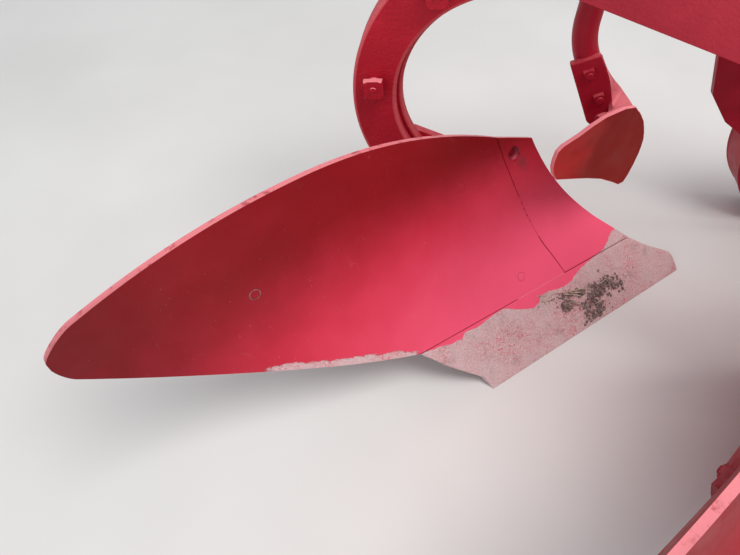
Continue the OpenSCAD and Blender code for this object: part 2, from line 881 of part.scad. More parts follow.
// The arm is clamped by a stud that runs in an arc slot of the bracket
slot_radius = 130;
slot_low = -25;
stud_diameter = 20;
slot_width = stud_diameter + 1.2;
module arm_place(y_max) {
  translate([arm_pivot_x, y_max, arm_pivot_height]) rotate([90, 0, 0]) children();
}
function arm_ring(r, a) = [r * cos(a), r * sin(a)];
slot_high = slot_low + arm_travel;
slot_outline = concat(
  [for (k = [0:12]) arm_ring(slot_radius + slot_width / 2, slot_low + k * arm_travel / 12)],
  [for (k = [1:8]) arm_ring(slot_radius, slot_high) + arm_ring(slot_width / 2, slot_high + k * 20)],
  [for (k = [0:12]) arm_ring(slot_radius - slot_width / 2, slot_high - k * arm_travel / 12)],
  [for (k = [1:8]) arm_ring(slot_radius, slot_low) + arm_ring(slot_width / 2, slot_low + 180 + k * 20)]
);
module arc_slot(y_max, t) {
  arm_place(y_max) linear_extrude(height = t) polygon(slot_outline);
}

module wheel_bracket() {
  color(paint) whole() difference() {
    side_plate(land_beam_left + bracket_depth, bracket_depth, [
      [arm_pivot_x - 110, frame_top],
      [arm_pivot_x + 60, frame_top],
      [arm_pivot_x + slot_radius + 32, frame_height + 14],
      [arm_pivot_x + slot_radius + 32, arm_pivot_height - 20],
      [arm_pivot_x + slot_radius + 2, arm_pivot_height - 92],
      [arm_pivot_x + slot_radius - 34, arm_pivot_height - 98],
      [arm_pivot_x + 20, arm_pivot_height - 60],
      [arm_pivot_x - 110, arm_pivot_height - 60]
    ]);
    arc_slot(land_beam_left + bracket_depth + 1, bracket_depth + 2);
    cross_pin(arm_pivot_x, land_beam_left + bracket_depth + 1, arm_pivot_height,
      arm_pivot_diameter + 0.1, bracket_depth + 2);
  }
}

module wheel_arm() {
  color(paint) whole() {
    difference() {
      side_plate(arm_far, arm_plate, [
        [arm_pivot_x - 45, arm_pivot_height + 20],
        [arm_pivot_x - 20, arm_pivot_height + 42],
        [arm_pivot_x + 20, arm_pivot_height + 42],
        [arm_pivot_x + 45, arm_pivot_height + 20],
        [arm_pivot_x + slot_radius * cos(slot_low) + 12, arm_pivot_height + slot_radius * sin(slot_low) + 28],
        [arm_pivot_x + slot_radius * cos(slot_low) + 29, arm_pivot_height + slot_radius * sin(slot_low) + 6],
        [arm_pivot_x + slot_radius * cos(slot_low) + 22, arm_pivot_height + slot_radius * sin(slot_low) - 22],
        [arm_pivot_x + 110, arm_pivot_height - 170],
        [wheel_x, wheel_radius + 45],
        [wheel_x + 40, wheel_radius + 22],
        [wheel_x + 40, wheel_radius - 22],
        [wheel_x, wheel_radius - 45],
        [wheel_x - 150, wheel_radius - 20],
        [arm_pivot_x + 27, arm_pivot_height - 227],
        [arm_pivot_x - 18, arm_pivot_height - 176],
        [arm_pivot_x - 41, arm_pivot_height - 104]
      ]);
      cross_pin(arm_pivot_x, arm_far + 1, arm_pivot_height, arm_pivot_diameter - 4, arm_plate + 2);
    }
    cross_pin(arm_pivot_x, arm_far + 8, arm_pivot_height, arm_pivot_diameter,
      arm_plate + bracket_depth + 8);
    arm_place(arm_far + 12) rotate([0, 0, slot_low]) translate([slot_radius, 0, 0])
      cylinder(h = arm_plate + bracket_depth + 12, d = stud_diameter);
    cross_pin(wheel_x, wheel_near + wheel_width + 6, wheel_radius, axle_diameter,
      wheel_width + 6 + wheel_near - arm_near);
  }
}

hub_diameter = 70;
module wheel_hub() {
  color(dark_paint) whole() difference() {
    cross_pin(wheel_x, wheel_near + wheel_width, wheel_radius, hub_diameter, wheel_width);
    cross_pin(wheel_x, wheel_near + wheel_width + 1, wheel_radius, axle_diameter + 0.1, wheel_width + 2);
  }
}

rim_plate = 8;
module wheel_rim() {
  color(paint) whole() difference() {
    cross_pin(wheel_x, wheel_near + wheel_width, wheel_radius, wheel_diameter, wheel_width, $fn = 72);
    cross_pin(wheel_x, wheel_near + wheel_width + 1, wheel_radius, wheel_diameter - 2 * rim_plate,
      wheel_width + 2, $fn = 72);
  }
}

module wheel_disc() {
  middle_y = wheel_near + wheel_width / 2 + 4;
  color(paint) whole() difference() {
    cross_pin(wheel_x, middle_y, wheel_radius, wheel_diameter - 2 * rim_plate, 8, $fn = 72);
    cross_pin(wheel_x, middle_y + 1, wheel_radius, hub_diameter, 10);
  }
}

main_beam();
land_beam();
front_tube();
mid_tube();
hitch_plate_left();
hitch_plate_right();
mast_left();
mast_right();
mast_brace_left();
mast_brace_right();
mast_stay();
rear_leg_bracket();
front_leg_bracket();
rear_leg_outer();
front_leg_outer();
rear_leg_inner();
front_leg_inner();
rear_frog();
front_frog();
rear_landside();
front_landside();
rear_share();
front_share();
rear_shin();
front_shin();
rear_mouldboard();
front_mouldboard();
rear_stay();
front_stay();
rear_skim_clamp();
front_skim_clamp();
rear_skim_shank();
front_skim_shank();
rear_skim_bracket();
front_skim_bracket();
rear_skim_board();
front_skim_board();
wheel_bracket();
wheel_arm();
wheel_hub();
wheel_disc();
wheel_rim();
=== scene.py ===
import json
import random
from math import cos, exp, hypot, pi, radians, sin, sqrt, tan

import bmesh
import bpy
import numpy as np
from mathutils import Matrix, Vector, noise


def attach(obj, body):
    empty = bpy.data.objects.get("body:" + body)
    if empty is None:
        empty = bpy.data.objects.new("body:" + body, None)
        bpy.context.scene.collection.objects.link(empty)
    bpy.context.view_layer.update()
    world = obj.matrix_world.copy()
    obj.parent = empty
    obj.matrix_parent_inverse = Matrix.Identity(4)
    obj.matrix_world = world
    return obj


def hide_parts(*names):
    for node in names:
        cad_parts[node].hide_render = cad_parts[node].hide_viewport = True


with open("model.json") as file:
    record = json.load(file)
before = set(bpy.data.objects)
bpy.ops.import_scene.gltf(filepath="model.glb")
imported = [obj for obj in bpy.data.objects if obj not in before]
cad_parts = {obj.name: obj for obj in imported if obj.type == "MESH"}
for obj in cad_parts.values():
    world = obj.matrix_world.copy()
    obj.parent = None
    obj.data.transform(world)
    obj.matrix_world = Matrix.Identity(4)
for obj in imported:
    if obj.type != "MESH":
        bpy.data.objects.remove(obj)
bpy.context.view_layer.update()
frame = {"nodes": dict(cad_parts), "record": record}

nodes = frame["nodes"]
bodies = frame["record"]["behaviour"]["bodies"]
node_body = {name: body for body, names in bodies.items() for name in names}

# Plough coordinates: origin at the rear share's point, X travel, Y land side, millimetres.
MIDDLE = (-78.8971, -164.029)
PITCH = 556.0
FURROW = 215.0


def row_point(x, y, z):
    """A place in plough coordinates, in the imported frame's metres."""
    return Vector(((x - MIDDLE[0]) / 1000, (y - MIDDLE[1]) / 1000, z / 1000))


def body_point(i, x, y, z):
    """The same on body i, 0 rear and 1 front, with x and y as on the rear one."""
    return row_point(x + i * PITCH, y - i * FURROW, z)


# Camera, at the photograph's place
CAMERA_AT = (-523.3, -830.6, 869.3)
CAMERA_PITCH = 50.0
CAMERA_YAW = 8.0
FOCAL_PIXELS = 556.0
PHOTO_WIDTH = 740

cam_data = bpy.data.cameras.new("camera")
cam_data.sensor_fit = "HORIZONTAL"
cam_data.lens = FOCAL_PIXELS / PHOTO_WIDTH * cam_data.sensor_width
cam_data.clip_start = 0.01
cam_data.clip_end = 100.0
camera = bpy.data.objects.new("camera", cam_data)
camera.location = row_point(*CAMERA_AT)
camera.rotation_euler = (radians(90 - CAMERA_PITCH), 0, radians(CAMERA_YAW))
scene = bpy.context.scene
scene.collection.objects.link(camera)
scene.camera = camera
scene.view_settings.view_transform = "Standard"


# Materials
class Nodes:
    """Short calls that add and link shader nodes."""

    def __init__(self, name, color):
        self.color = color
        self.mat = bpy.data.materials.new(name)
        self.mat.use_nodes = True
        self.tree = self.mat.node_tree
        self.tree.nodes.clear()
        self.bsdf = self.add("ShaderNodeBsdfPrincipled")
        self.add("ShaderNodeOutputMaterial", Surface=self.bsdf.outputs[0])
        self.object = self.add("ShaderNodeTexCoord").outputs["Object"]

    def add(self, kind, **inputs):
        return self.set(self.tree.nodes.new(kind), **inputs)

    def set(self, node, **inputs):
        """Sets or links inputs; _ stands for a space in their names, and None is left out."""
        for key, value in inputs.items():
            if value is not None:
                self.link(value, node.inputs[key.replace("_", " ")])
        return node

    def link(self, value, socket):
        if isinstance(value, (int, float)):
            socket.default_value = value
        elif isinstance(value, tuple):
            socket.default_value = (value + (1.0,))[:len(socket.default_value)]
        else:
            self.tree.links.new(value, socket)

    def noise(self, scale, detail=3.0, rough=0.55, distort=0.0, stretch=None):
        place = self.object
        if stretch:
            place = self.add("ShaderNodeMapping", Vector=place, Scale=stretch).outputs[0]
        return self.add("ShaderNodeTexNoise", Vector=place, Scale=scale, Detail=detail, Roughness=rough,
                        Distortion=distort).outputs["Fac"]

    def cells(self, scale):
        return self.add("ShaderNodeTexVoronoi", Vector=self.object, Scale=scale).outputs["Distance"]

    def ramp(self, value, low, high, out_low=0.0, out_high=1.0):
        n = self.add("ShaderNodeMapRange", Value=value, From_Min=low, From_Max=high,
                     To_Min=out_low, To_Max=out_high)
        n.interpolation_type = "SMOOTHSTEP"
        return n.outputs["Result"]

    def patches(self, scale, detail, low, high, amount=1.0, rough=0.55):
        """Soft-edged patches, from noise between low and high."""
        return self.ramp(self.noise(scale, detail, rough), low, high, 0.0, amount)

    def lay(self, color, mask):
        """Lays a colour over the colour so far."""
        self.color = self.mix(mask, self.color, color)

    def spots(self, color, *patches, **rough):
        self.lay(color, self.patches(*patches, **rough))

    def varied(self, scale, low, high):
        """A value that drifts between low and high, for roughness."""
        return self.ramp(self.noise(scale, 4.0), 0.3, 0.7, low, high)

    def ragged(self, mask, scale, detail, rough, amount):
        """A mask whose edge noise breaks up."""
        spread = self.math("SUBTRACT", self.noise(scale, detail, rough), 0.5)
        return self.math("ADD", self.attribute(mask), self.times(spread, amount))

    def math(self, op, a, b):
        n = self.add("ShaderNodeMath")
        n.operation = op
        self.link(a, n.inputs[0])
        self.link(b, n.inputs[1])
        return n.outputs[0]

    def times(self, a, b):
        return self.math("MULTIPLY", a, b)

    def mix(self, fac, a, b):
        n = self.add("ShaderNodeMix")
        n.data_type = "RGBA"
        self.link(fac, n.inputs["Factor"])
        for name, value in (("A", a), ("B", b)):
            self.link(value, [s for s in n.inputs if s.name == name and s.type == "RGBA"][0])
        return [s for s in n.outputs if s.type == "RGBA"][0]

    def attribute(self, name):
        n = self.add("ShaderNodeAttribute")
        n.attribute_name = name
        return n.outputs["Fac"]

    def up(self):
        normal = self.add("ShaderNodeNewGeometry").outputs["Normal"]
        return self.add("ShaderNodeSeparateXYZ", Vector=normal).outputs["Z"]

    def bump(self, height, distance, strength=1.0, before=None):
        return self.add("ShaderNodeBump", Distance=distance, Strength=strength, Height=height,
                        Normal=before).outputs["Normal"]

    def finish(self, roughness, normal=None, specular=0.5, metallic=0.0):
        self.set(self.bsdf, Base_Color=self.color, Roughness=roughness, Normal=normal,
                 Specular_IOR_Level=specular, Metallic=metallic)
        return self.mat


CAST = (0.61, 0.010, 0.032)
CAST_DEEP = (0.46, 0.007, 0.022)
BEAM = (0.60, 0.036, 0.062)
BEAM_DEEP = (0.48, 0.026, 0.046)
SMOOTH = (0.36, 0.008, 0.024)
SMOOTH_DEEP = (0.26, 0.006, 0.018)
SEAM_RED = (0.34, 0.004, 0.013)
SEAM_DEEP = (0.16, 0.003, 0.008)
RED_LIGHT = (0.62, 0.030, 0.062)
# Pink red for the painted sky reflection where the boards lie back.
SKY_SHEEN_RED = (0.90, 0.098, 0.190)
BOARD = (0.300, 0.004, 0.010)
BOARD_DEEP = (0.225, 0.003, 0.006)
BOARD_SHADE = (0.05, 0.001, 0.003)
SCUFF = (0.13, 0.045, 0.055)
SKIM = (0.58, 0.026, 0.024)
SKIM_DEEP = (0.28, 0.012, 0.008)
SKIM_DIRT = (0.17, 0.030, 0.020)
# Pale pink for rubbed paint and dust, and for painted sky sheen and highlights on edges and faces that look
# up.
PALE_WEAR_AND_SHEEN = (0.86, 0.26, 0.29)
# Lighter red for the rounded outline of the legs' near side, a painted highlight on the chamfer.
STRIP_HIGHLIGHT = (0.66, 0.085, 0.10)
DUST = (0.55, 0.32, 0.29)
MUD = (0.53, 0.335, 0.34)
MUD_PALE = (0.74, 0.53, 0.54)
MUD_DARK = (0.18, 0.12, 0.11)
SOIL = (0.145, 0.092, 0.082)
SOIL_DRY = (0.38, 0.265, 0.24)
SOIL_PALE = (0.62, 0.48, 0.44)
STRAW_DARK = (0.30, 0.22, 0.15)
STRAW_PALE = (0.62, 0.53, 0.41)
STRAW_DIRT = (0.12, 0.085, 0.06)
STEEL_DARK = (0.30, 0.28, 0.27)
STEEL_PALE = (0.42, 0.40, 0.39)
RUST = (0.16, 0.08, 0.05)


def worn_and_lit_edges(m):
    """Rims painted light, as rubbed paint and as a painted sky highlight where they look up."""
    wear_and_highlight = m.times(m.attribute("rim"), m.patches(70.0, 5.0, 0.22, 0.5, rough=0.65))
    wear_and_highlight = m.times(wear_and_highlight, m.ramp(m.up(), -0.35, 0.5))
    m.lay(PALE_WEAR_AND_SHEEN, m.times(wear_and_highlight, 0.8))


def dust_and_sheen(m, amount):
    """Dust, and painted sky sheen, on what looks up."""
    dust_and_sheen_mask = m.times(m.ramp(m.up(), 0.35, 1.0), m.patches(30.0, 6.0, 0.25, 0.65, rough=0.65))
    m.lay(PALE_WEAR_AND_SHEEN, m.times(dust_and_sheen_mask, amount))


def board_paint():
    m = Nodes("board_paint", BOARD_DEEP)
    m.spots(BOARD, 3.0, 4.0, 0.35, 0.68)
    m.spots(RED_LIGHT, 14.0, 5.0, 0.5, 0.8, 0.08)
    # Painted sky sheen: lighter red, then pink, where the board lies back and faces up.
    sheen = m.math("ADD", m.attribute("glow"), m.ramp(m.noise(11.0, 4.0), 0.2, 0.8, -0.05, 0.05))
    m.lay(RED_LIGHT, m.ramp(sheen, 0.0, 0.55))
    m.lay(SKY_SHEEN_RED, m.ramp(sheen, 0.35, 1.05))
    m.spots(DUST, 300.0, 2.0, 0.72, 0.77, 0.4)
    streaks = m.noise(1.0, 5.0, 0.7, 0.6, (4.0, 90.0, 30.0))
    m.lay(DUST, m.ramp(streaks, 0.60, 0.78, 0.0, 0.08))
    worn_and_lit_edges(m)
    mud = m.ramp(m.ragged("mud", 60.0, 7.0, 0.75, 1.0), 0.47, 0.57)
    mud_color = m.mix(m.patches(520.0, 4.0, 0.35, 0.62, rough=0.75), MUD, MUD_PALE)
    mud_color = m.mix(m.patches(24.0, 5.0, 0.52, 0.8, 0.5, 0.7), mud_color, MUD_DARK)
    hairs = m.ramp(m.noise(120.0, 4.0, 0.7, 3.5), 0.53, 0.58)
    hairs = m.times(hairs, m.patches(16.0, 3.0, 0.38, 0.62))
    m.lay(m.mix(m.times(hairs, 0.8), mud_color, RED_LIGHT), mud)
    m.lay(SCUFF, m.ramp(m.ragged("scuff", 45.0, 6.0, 0.7, 1.1), 0.35, 0.95, 0.0, 0.6))
    m.lay(BOARD_SHADE, m.times(m.attribute("shade"), 0.85))
    rough = m.math("ADD", m.varied(25.0, 0.44, 0.58), m.times(mud, 0.35))
    normal = m.bump(m.noise(330.0, 3.0, 0.6), 0.0005, 0.22)
    normal = m.bump(m.times(mud, m.noise(260.0, 5.0, 0.75)), 0.0018, 0.9, normal)
    return m.finish(rough, normal, 0.22)


def cast_paint(name, deep, base):
    m = Nodes(name, deep)
    m.spots(base, 5.0, 4.0, 0.35, 0.65)
    m.spots(RED_LIGHT, 40.0, 5.0, 0.55, 0.8, 0.3)
    dust_and_sheen(m, 0.38)
    worn_and_lit_edges(m)
    # Painted highlight on the rounded outline of the legs' near side.
    m.lay(STRIP_HIGHLIGHT, m.attribute("strip"))
    # Painted highlight on the facets of the leg nuts that look up.
    m.lay(PALE_WEAR_AND_SHEEN, m.times(m.attribute("facet"), m.ramp(m.up(), 0.3, 0.7)))
    cast = m.noise(230.0, 3.0, 0.6)
    normal = m.bump(m.ramp(m.cells(85.0), 0.0, 0.30), 0.0010, 0.3, m.bump(cast, 0.0024, 0.6))
    return m.finish(m.ramp(cast, 0.3, 0.7, 0.42, 0.60), normal, 0.25)


def smooth_paint():
    m = Nodes("smooth_paint", SMOOTH_DEEP)
    m.spots(SMOOTH, 9.0, 4.0, 0.35, 0.65)
    m.spots(RED_LIGHT, 60.0, 5.0, 0.6, 0.8, 0.25)
    dust_and_sheen(m, 0.32)
    worn_and_lit_edges(m)
    return m.finish(m.varied(25.0, 0.38, 0.54), m.bump(m.noise(160.0, 3.0, 0.6), 0.0010, 0.3), 0.25)


def skim_paint():
    m = Nodes("skimmer_paint", SKIM)
    tint = m.math("ADD", m.attribute("tint"), m.ramp(m.noise(14.0, 5.0), 0.2, 0.8, -0.12, 0.12))
    m.lay(SKIM_DEEP, m.ramp(tint, 0.08, 0.5))
    m.spots(SKIM_DIRT, 48.0, 5.0, 0.55, 0.75, 0.25, 0.7)
    # The skimmer board's rim is painted pale all round, a painted highlight on its edge.
    m.lay(PALE_WEAR_AND_SHEEN, m.attribute("rim"))
    return m.finish(m.varied(25.0, 0.45, 0.62), m.bump(m.noise(200.0, 4.0, 0.65), 0.0012, 0.5), 0.16)


def plain(name, color, layers, rough, grain, bump, specular, metallic=0.0):
    """A colour with spots of others and a fine grain; rough is a number or what varied takes."""
    m = Nodes(name, color)
    for layer in layers:
        m.spots(*layer)
    rough = m.varied(*rough) if isinstance(rough, tuple) else rough
    return m.finish(rough, m.bump(m.noise(*grain), *bump), specular, metallic)


PAINT_BOARD = board_paint()
PAINT_CAST = cast_paint("cast_paint", CAST_DEEP, CAST)
PAINT_BEAM = cast_paint("beam_paint", BEAM_DEEP, BEAM)
PAINT_SMOOTH = smooth_paint()
PAINT_SKIM = skim_paint()
STEEL = plain("bare_steel", STEEL_DARK, [(STEEL_PALE, 30.0, 5.0, 0.4, 0.65), (RUST, 90.0, 5.0, 0.58, 0.72)],
              (50.0, 0.34, 0.55), (300.0, 3.0), (0.0004, 0.4), 0.5, 0.85)
SOIL_MAT = plain("soil", SOIL, [(SOIL_DRY, 160.0, 5.0, 0.35, 0.65, 1.0, 0.7),
                                (SOIL_PALE, 560.0, 4.0, 0.55, 0.68, 1.0, 0.7)],
                 0.95, (420.0, 5.0, 0.7), (0.003, 1.0), 0.2)
STRAW = plain("straw", STRAW_DARK, [(STRAW_PALE, 90.0, 4.0, 0.3, 0.7), (STRAW_DIRT, 35.0, 4.0, 0.55, 0.75)],
              0.85, (600.0, 3.0), (0.0005, 0.6), 0.25)
# Dark red for the joints round flush bolt heads, and painted shade for the head deep in the shin's hole.
SEAM_AND_RECESS_SHADE = plain("seam_and_recess_shade", SEAM_DEEP, [(SEAM_RED, 60.0, 4.0, 0.35, 0.65)],
             0.6, (300.0, 3.0), (0.0004, 0.4), 0.2)


# Mesh helpers
def weigh_normals(obj, weight=60):
    mod = obj.modifiers.new("weighted", "WEIGHTED_NORMAL")
    mod.keep_sharp = True
    mod.weight = weight


def add_object(name, bm, material, body, weight=60):
    """Smooth object from a finished bmesh, with weighted normals."""
    mesh = bpy.data.meshes.new(name)
    bm.to_mesh(mesh)
    bm.free()
    obj = bpy.data.objects.new(name, mesh)
    scene.collection.objects.link(obj)
    mesh.materials.append(material)
    weigh_normals(obj, weight)
    for poly in mesh.polygons:
        poly.use_smooth = True
    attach(obj, body)
    return obj


def sharp_edges(bm, degrees=28.0):
    return [e for e in bm.edges
            if len(e.link_faces) == 2 and e.calc_face_angle(0.0) > radians(degrees)]


def bevel(bm, edges, width, segments):
    """Rounds edges and gives the faces of the strips that this makes."""
    return bmesh.ops.bevel(bm, geom=edges, offset=width, offset_type="OFFSET", segments=segments,
                           profile=0.5, affect="EDGES", clamp_overlap=True)["faces"]


def round_corners(bm, width, segments, degrees=28.0):
    """Turns the faces outwards and rounds the corners between them."""
    bmesh.ops.recalc_face_normals(bm, faces=bm.faces)
    bevel(bm, sharp_edges(bm, degrees), width, segments)


def mark(bm, key, value, faces, axis=None):
    """Sets an attribute along the middle of the strips that rounding made.

    With an axis, the narrow sides between the strips around it are marked too.
    """
    layer = bm.verts.layers.float[key]
    made = set(faces)
    if axis:
        made |= {face for face in bm.faces if abs(face.normal.dot(Vector(axis))) < 0.35}
    for vert in {v for face in faces for v in face.verts}:
        if all(face in made for face in vert.link_faces):
            vert[layer] = value


def rounded(node, material, width=0.0015, segments=2, axis=None, near=0.0):
    """A copy of a CAD node with its corners rounded, which stands for the node.

    near is a larger rounding for the outline of the side that faces the ploughed land.
    """
    bm = bmesh.new()
    bm.from_mesh(nodes[node].data)
    bmesh.ops.remove_doubles(bm, verts=bm.verts, dist=2e-6)
    bmesh.ops.dissolve_limit(bm, angle_limit=radians(0.6), verts=bm.verts, edges=bm.edges)
    bm.verts.layers.float.new("rim")
    strips = []
    if near:
        side = min(vert.co.y for vert in bm.verts) + 1e-4
        outline = [e for e in sharp_edges(bm) if all(vert.co.y < side for vert in e.verts)]
        # This rounding is marked to be painted lighter, a painted highlight on the chamfer.
        strips = bevel(bm, outline, near, 4)
        bm.verts.layers.float.new("strip")
        mark(bm, "strip", 0.85, strips)
    strips += bevel(bm, sharp_edges(bm), width, segments)
    mark(bm, "rim", 1.0, [face for face in strips if face.is_valid], axis)
    obj = add_object(node + "_body", bm, material, node_body[node])
    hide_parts(node)
    return obj


# The working surface: stations of height, setback and angle, as in the CAD part
SHARE_HEIGHT = 80.0
SHARE_SETBACK = 124.0
SHARE_ANGLE = 41.3
SHARE_CUT = 330.0
SHARE_PLATE = 11.0
BOARD_PLATE = 9.0
RIM_HEIGHT = 410.0
RIM_PEAK = 305.0
SHIN_RIM_HEIGHT = 320.0
SHIN_TOP_HEIGHT = 291.0
SHIN_TOP_WIDTH = 50.0
SHIN_FOOT_WIDTH = 112.0
TAIL_REACH = 556.0
TAIL_ROUND = 32.0
JOINT_GAP = 1.0
STATIONS = [(SHARE_HEIGHT + dz, SHARE_SETBACK + ds, SHARE_ANGLE + da) for dz, ds, da in (
    (0, 0, -0.8), (21, 36, -0.7), (52, 88, -0.4), (94, 142, 0.2), (139, 185, 1.1),
    (189, 221, 2.2), (230, 244, 3.2), (275, 263, 4.2), (340, 287, 5.6))]
LAST = len(STATIONS) - 1


def station_value(z, c):
    i = 0
    while i < LAST - 1 and z >= STATIONS[i + 1][0]:
        i += 1

    def slope(k):
        a, b = max(k - 1, 0), min(k + 1, LAST)
        return (STATIONS[b][c] - STATIONS[a][c]) / (STATIONS[b][0] - STATIONS[a][0])

    p, q = STATIONS[i], STATIONS[i + 1]
    h = q[0] - p[0]
    t = (z - p[0]) / h
    t2, t3 = t * t, t * t * t
    return ((2 * t3 - 3 * t2 + 1) * p[c] + (t3 - 2 * t2 + t) * h * slope(i)
            + (3 * t2 - 2 * t3) * q[c] + (t3 - t2) * h * slope(i + 1))


def face_point(u, z):
    if z <= SHARE_HEIGHT:
        back = z * SHARE_SETBACK / SHARE_HEIGHT
        angle = SHARE_ANGLE - 0.8 * z / SHARE_HEIGHT
    else:
        back, angle = station_value(z, 1), station_value(z, 2)
    return Vector((-back - u / tan(radians(angle)), -u, z))


def face_normal(u, z):
    d = 2.0
    low = z if z < d else z - d
    a = face_point(u, z + d) - face_point(u, low)
    b = face_point(u + d, z) - face_point(u - d, z)
    return a.cross(b).normalized()


def back_point(u, z, t):
    p = face_point(u, z) - t * face_normal(u, z)
    p.z = max(p.z, 0)
    return p


def rim_z(u):
    if u < RIM_PEAK:
        return RIM_HEIGHT - (RIM_HEIGHT - SHIN_RIM_HEIGHT) * (
            (RIM_PEAK - u) / (RIM_PEAK - SHIN_TOP_WIDTH)) ** 2.05
    return RIM_HEIGHT - 51 * ((u - RIM_PEAK) / (TAIL_REACH - RIM_PEAK - 26)) ** 2.3


def keel_z(u):
    past = max(0, u - SHARE_CUT + 2)
    return SHARE_HEIGHT + JOINT_GAP + 0.41 * past + 0.00222 * past ** 2


def tail_scale(u, r):
    start = TAIL_REACH - r
    return 1 if u <= start else sqrt(max(0, 1 - ((u - start) / r) ** 2))


def board_range(u):
    m, h = (rim_z(u) + keel_z(u)) / 2, (rim_z(u) - keel_z(u)) / 2
    return m - h * tail_scale(u, TAIL_ROUND / 3), m + h * tail_scale(u, TAIL_ROUND)


def shin_width(t):
    return SHIN_TOP_WIDTH + (SHIN_FOOT_WIDTH - SHIN_TOP_WIDTH) * (1 - t) ** 2.6


def board_uz(s, t):
    """Mouldboard place for s across and t up, both 0 to 1."""
    left = shin_width(t) + JOINT_GAP
    share = (s * 1.22 if s < 0.7 else 0.854 + 0.146 * sin(radians((s - 0.7) * 300))) * 0.999
    u = left + (TAIL_REACH - left) * share
    low, high = board_range(u)
    return u, low + (high - low) * t


def shin_top(u):
    return SHIN_TOP_HEIGHT + (SHIN_RIM_HEIGHT - SHIN_TOP_HEIGHT) * u / SHIN_TOP_WIDTH


def shin_uz(s, t):
    u = shin_width(t) * s
    return u, SHARE_HEIGHT + JOINT_GAP + (shin_top(u) - SHARE_HEIGHT - JOINT_GAP) * t


# Height, nose towards the land side, reach across
SHARE_ROWS = [(0, 0, 0), (7, 6, -4), (18, 14, -10), (24, 18, -9), (31, 20, -7), (41, 15, -5),
              (53, 8, -3), (66, 3, -3), (SHARE_HEIGHT, 0, -2)]


def share_uz(s, t):
    z = SHARE_HEIGHT * t
    heights, noses, reaches = zip(*SHARE_ROWS)
    nose = np.interp(z, heights, noses)
    reach = SHARE_CUT + np.interp(z, heights, reaches)
    return -nose + (reach + nose) * s, z


def step(a, b, x):
    x = min(1.0, max(0.0, (x - a) / (b - a)))
    return x * x * (3 - 2 * x)


def border(rows, cols):
    """Row, column and side of each point along a grid's outline, with the next."""
    loop = ([(0, c, "low") for c in range(cols)] + [(j, cols, "far") for j in range(rows)]
            + [(rows, c, "top") for c in range(cols, 0, -1)] + [(j, 0, "near") for j in range(rows, 0, -1)])
    return zip(loop, loop[1:] + loop[:1])


# Share of the painted sky sheen on the front body's plates.
FRONT_SHEEN = 0.4


def plate_object(node, uz, cols, rows, thickness, i, mud, scuff=None, lump=0.0, edge=0.0012, worn_and_lit_sides=()):
    """A wearing plate behind the working surface, with painted-on masks.

    lump raises the mud; the last argument names the sides (low, far, top, near) painted light along the rim,
    as rubbed paint and as a painted highlight.
    """
    bm = bmesh.new()
    masks = {key: bm.verts.layers.float.new(key) for key in ("mud", "scuff", "glow", "shade")}
    rim = bm.faces.layers.float.new("rim")

    def front_vert(c, j):
        u, z = uz(c / cols, j / rows)
        p, m = face_point(u, z), mud(u, z)
        if lump and 0 < c < cols and 0 < j < rows:
            rough = noise.fractal(Vector((u / 9, z / 9, 3.1 + i)), 0.7, 2.0, 4)
            p = p + face_normal(u, z) * lump * step(0.45, 0.7, m) * max(0, 0.5 + rough)
        v = bm.verts.new(body_point(i, *p))
        v[masks["mud"]] = m
        v[masks["scuff"]] = scuff(u, z) if scuff else 0.0
        # Painted sky sheen, weaker on the front body.
        v[masks["glow"]] = glow(u, z) * (FRONT_SHEEN if i else 1.0)
        v[masks["shade"]] = 0.3 * step(400, 540, u)
        return v

    def back_vert(c, j):
        u, z = uz(c / cols, j / rows)
        v = bm.verts.new(body_point(i, *back_point(u, z, thickness(z))))
        v[masks["mud"]] = mud(u, z) * 0.4
        return v

    front, back = ([[make(c, j) for c in range(cols + 1)] for j in range(rows + 1)]
                   for make in (front_vert, back_vert))
    for j in range(rows):
        for c in range(cols):
            quad = ((c, j), (c + 1, j), (c + 1, j + 1), (c, j + 1))
            bm.faces.new([front[b][a] for a, b in quad][::-1])
            bm.faces.new([back[b][a] for a, b in quad])
    for (j, c, side), (k, d, _) in border(rows, cols):
        face = bm.faces.new((front[j][c], front[k][d], back[k][d], back[j][c]))
        # Rim mask on the named sides: rubbed paint and painted highlight.
        face[rim] = 1.0 if side in worn_and_lit_sides else 0.0
    round_corners(bm, edge, 2, 40.0)
    obj = add_object(node + "_face", bm, PAINT_BOARD, node_body[node])
    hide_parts(node)
    return obj


def mouldboard_mud(u, z):
    above = z - keel_z(u)
    band = 0.75 * step(26, 4, above) * step(300, 345, u) * step(455, 420, u)
    low = 0.42 * step(14, 0, above) * step(180, 230, u)
    return max(band, low)


# Upper limit of the dried mud: across, height
MUD_LINE = [(-20, 108), (9, 99), (24, 93), (40, 85), (62, 80), (93, 75), (118, 67), (135, 64), (152, 69),
            (165, 70), (178, 62), (189, 60), (203, 68), (212, 79), (232, 78), (257, 75), (270, 77),
            (282, 72), (295, 73), (309, 77), (325, 80), (340, 84)]


def below_mud_line(u, z):
    return np.interp(u, *zip(*MUD_LINE)) - z


def share_mud(u, z):
    return 0.2 + 0.8 * step(-3.5, 3.5, below_mud_line(u, z))


def shin_mud(u, z):
    return 0.9 * step(-4, 6, below_mud_line(u, z))


def shin_scuff(u, z):
    below_hole = exp(-(((u - 30) / 14) ** 2 + ((z - 265) / 30) ** 2))
    at_joint = exp(-(((u - 62) / 6) ** 2 + ((z - 205) / 30) ** 2))
    return 0.75 * below_hole + 0.55 * at_joint


def glow(u, z):
    """Painted sky sheen: the boards are painted lighter where they lie back towards the share and face up.
    """
    return max(0.0, min(1.0, (330 - z) / 235 * (1.12 - 0.85 * (max(u, 0) / 520) ** 1.6)))


def share_thickness(z):
    return 3.0 if z < 2 else SHARE_PLATE * 0.7 if z < 10 else SHARE_PLATE


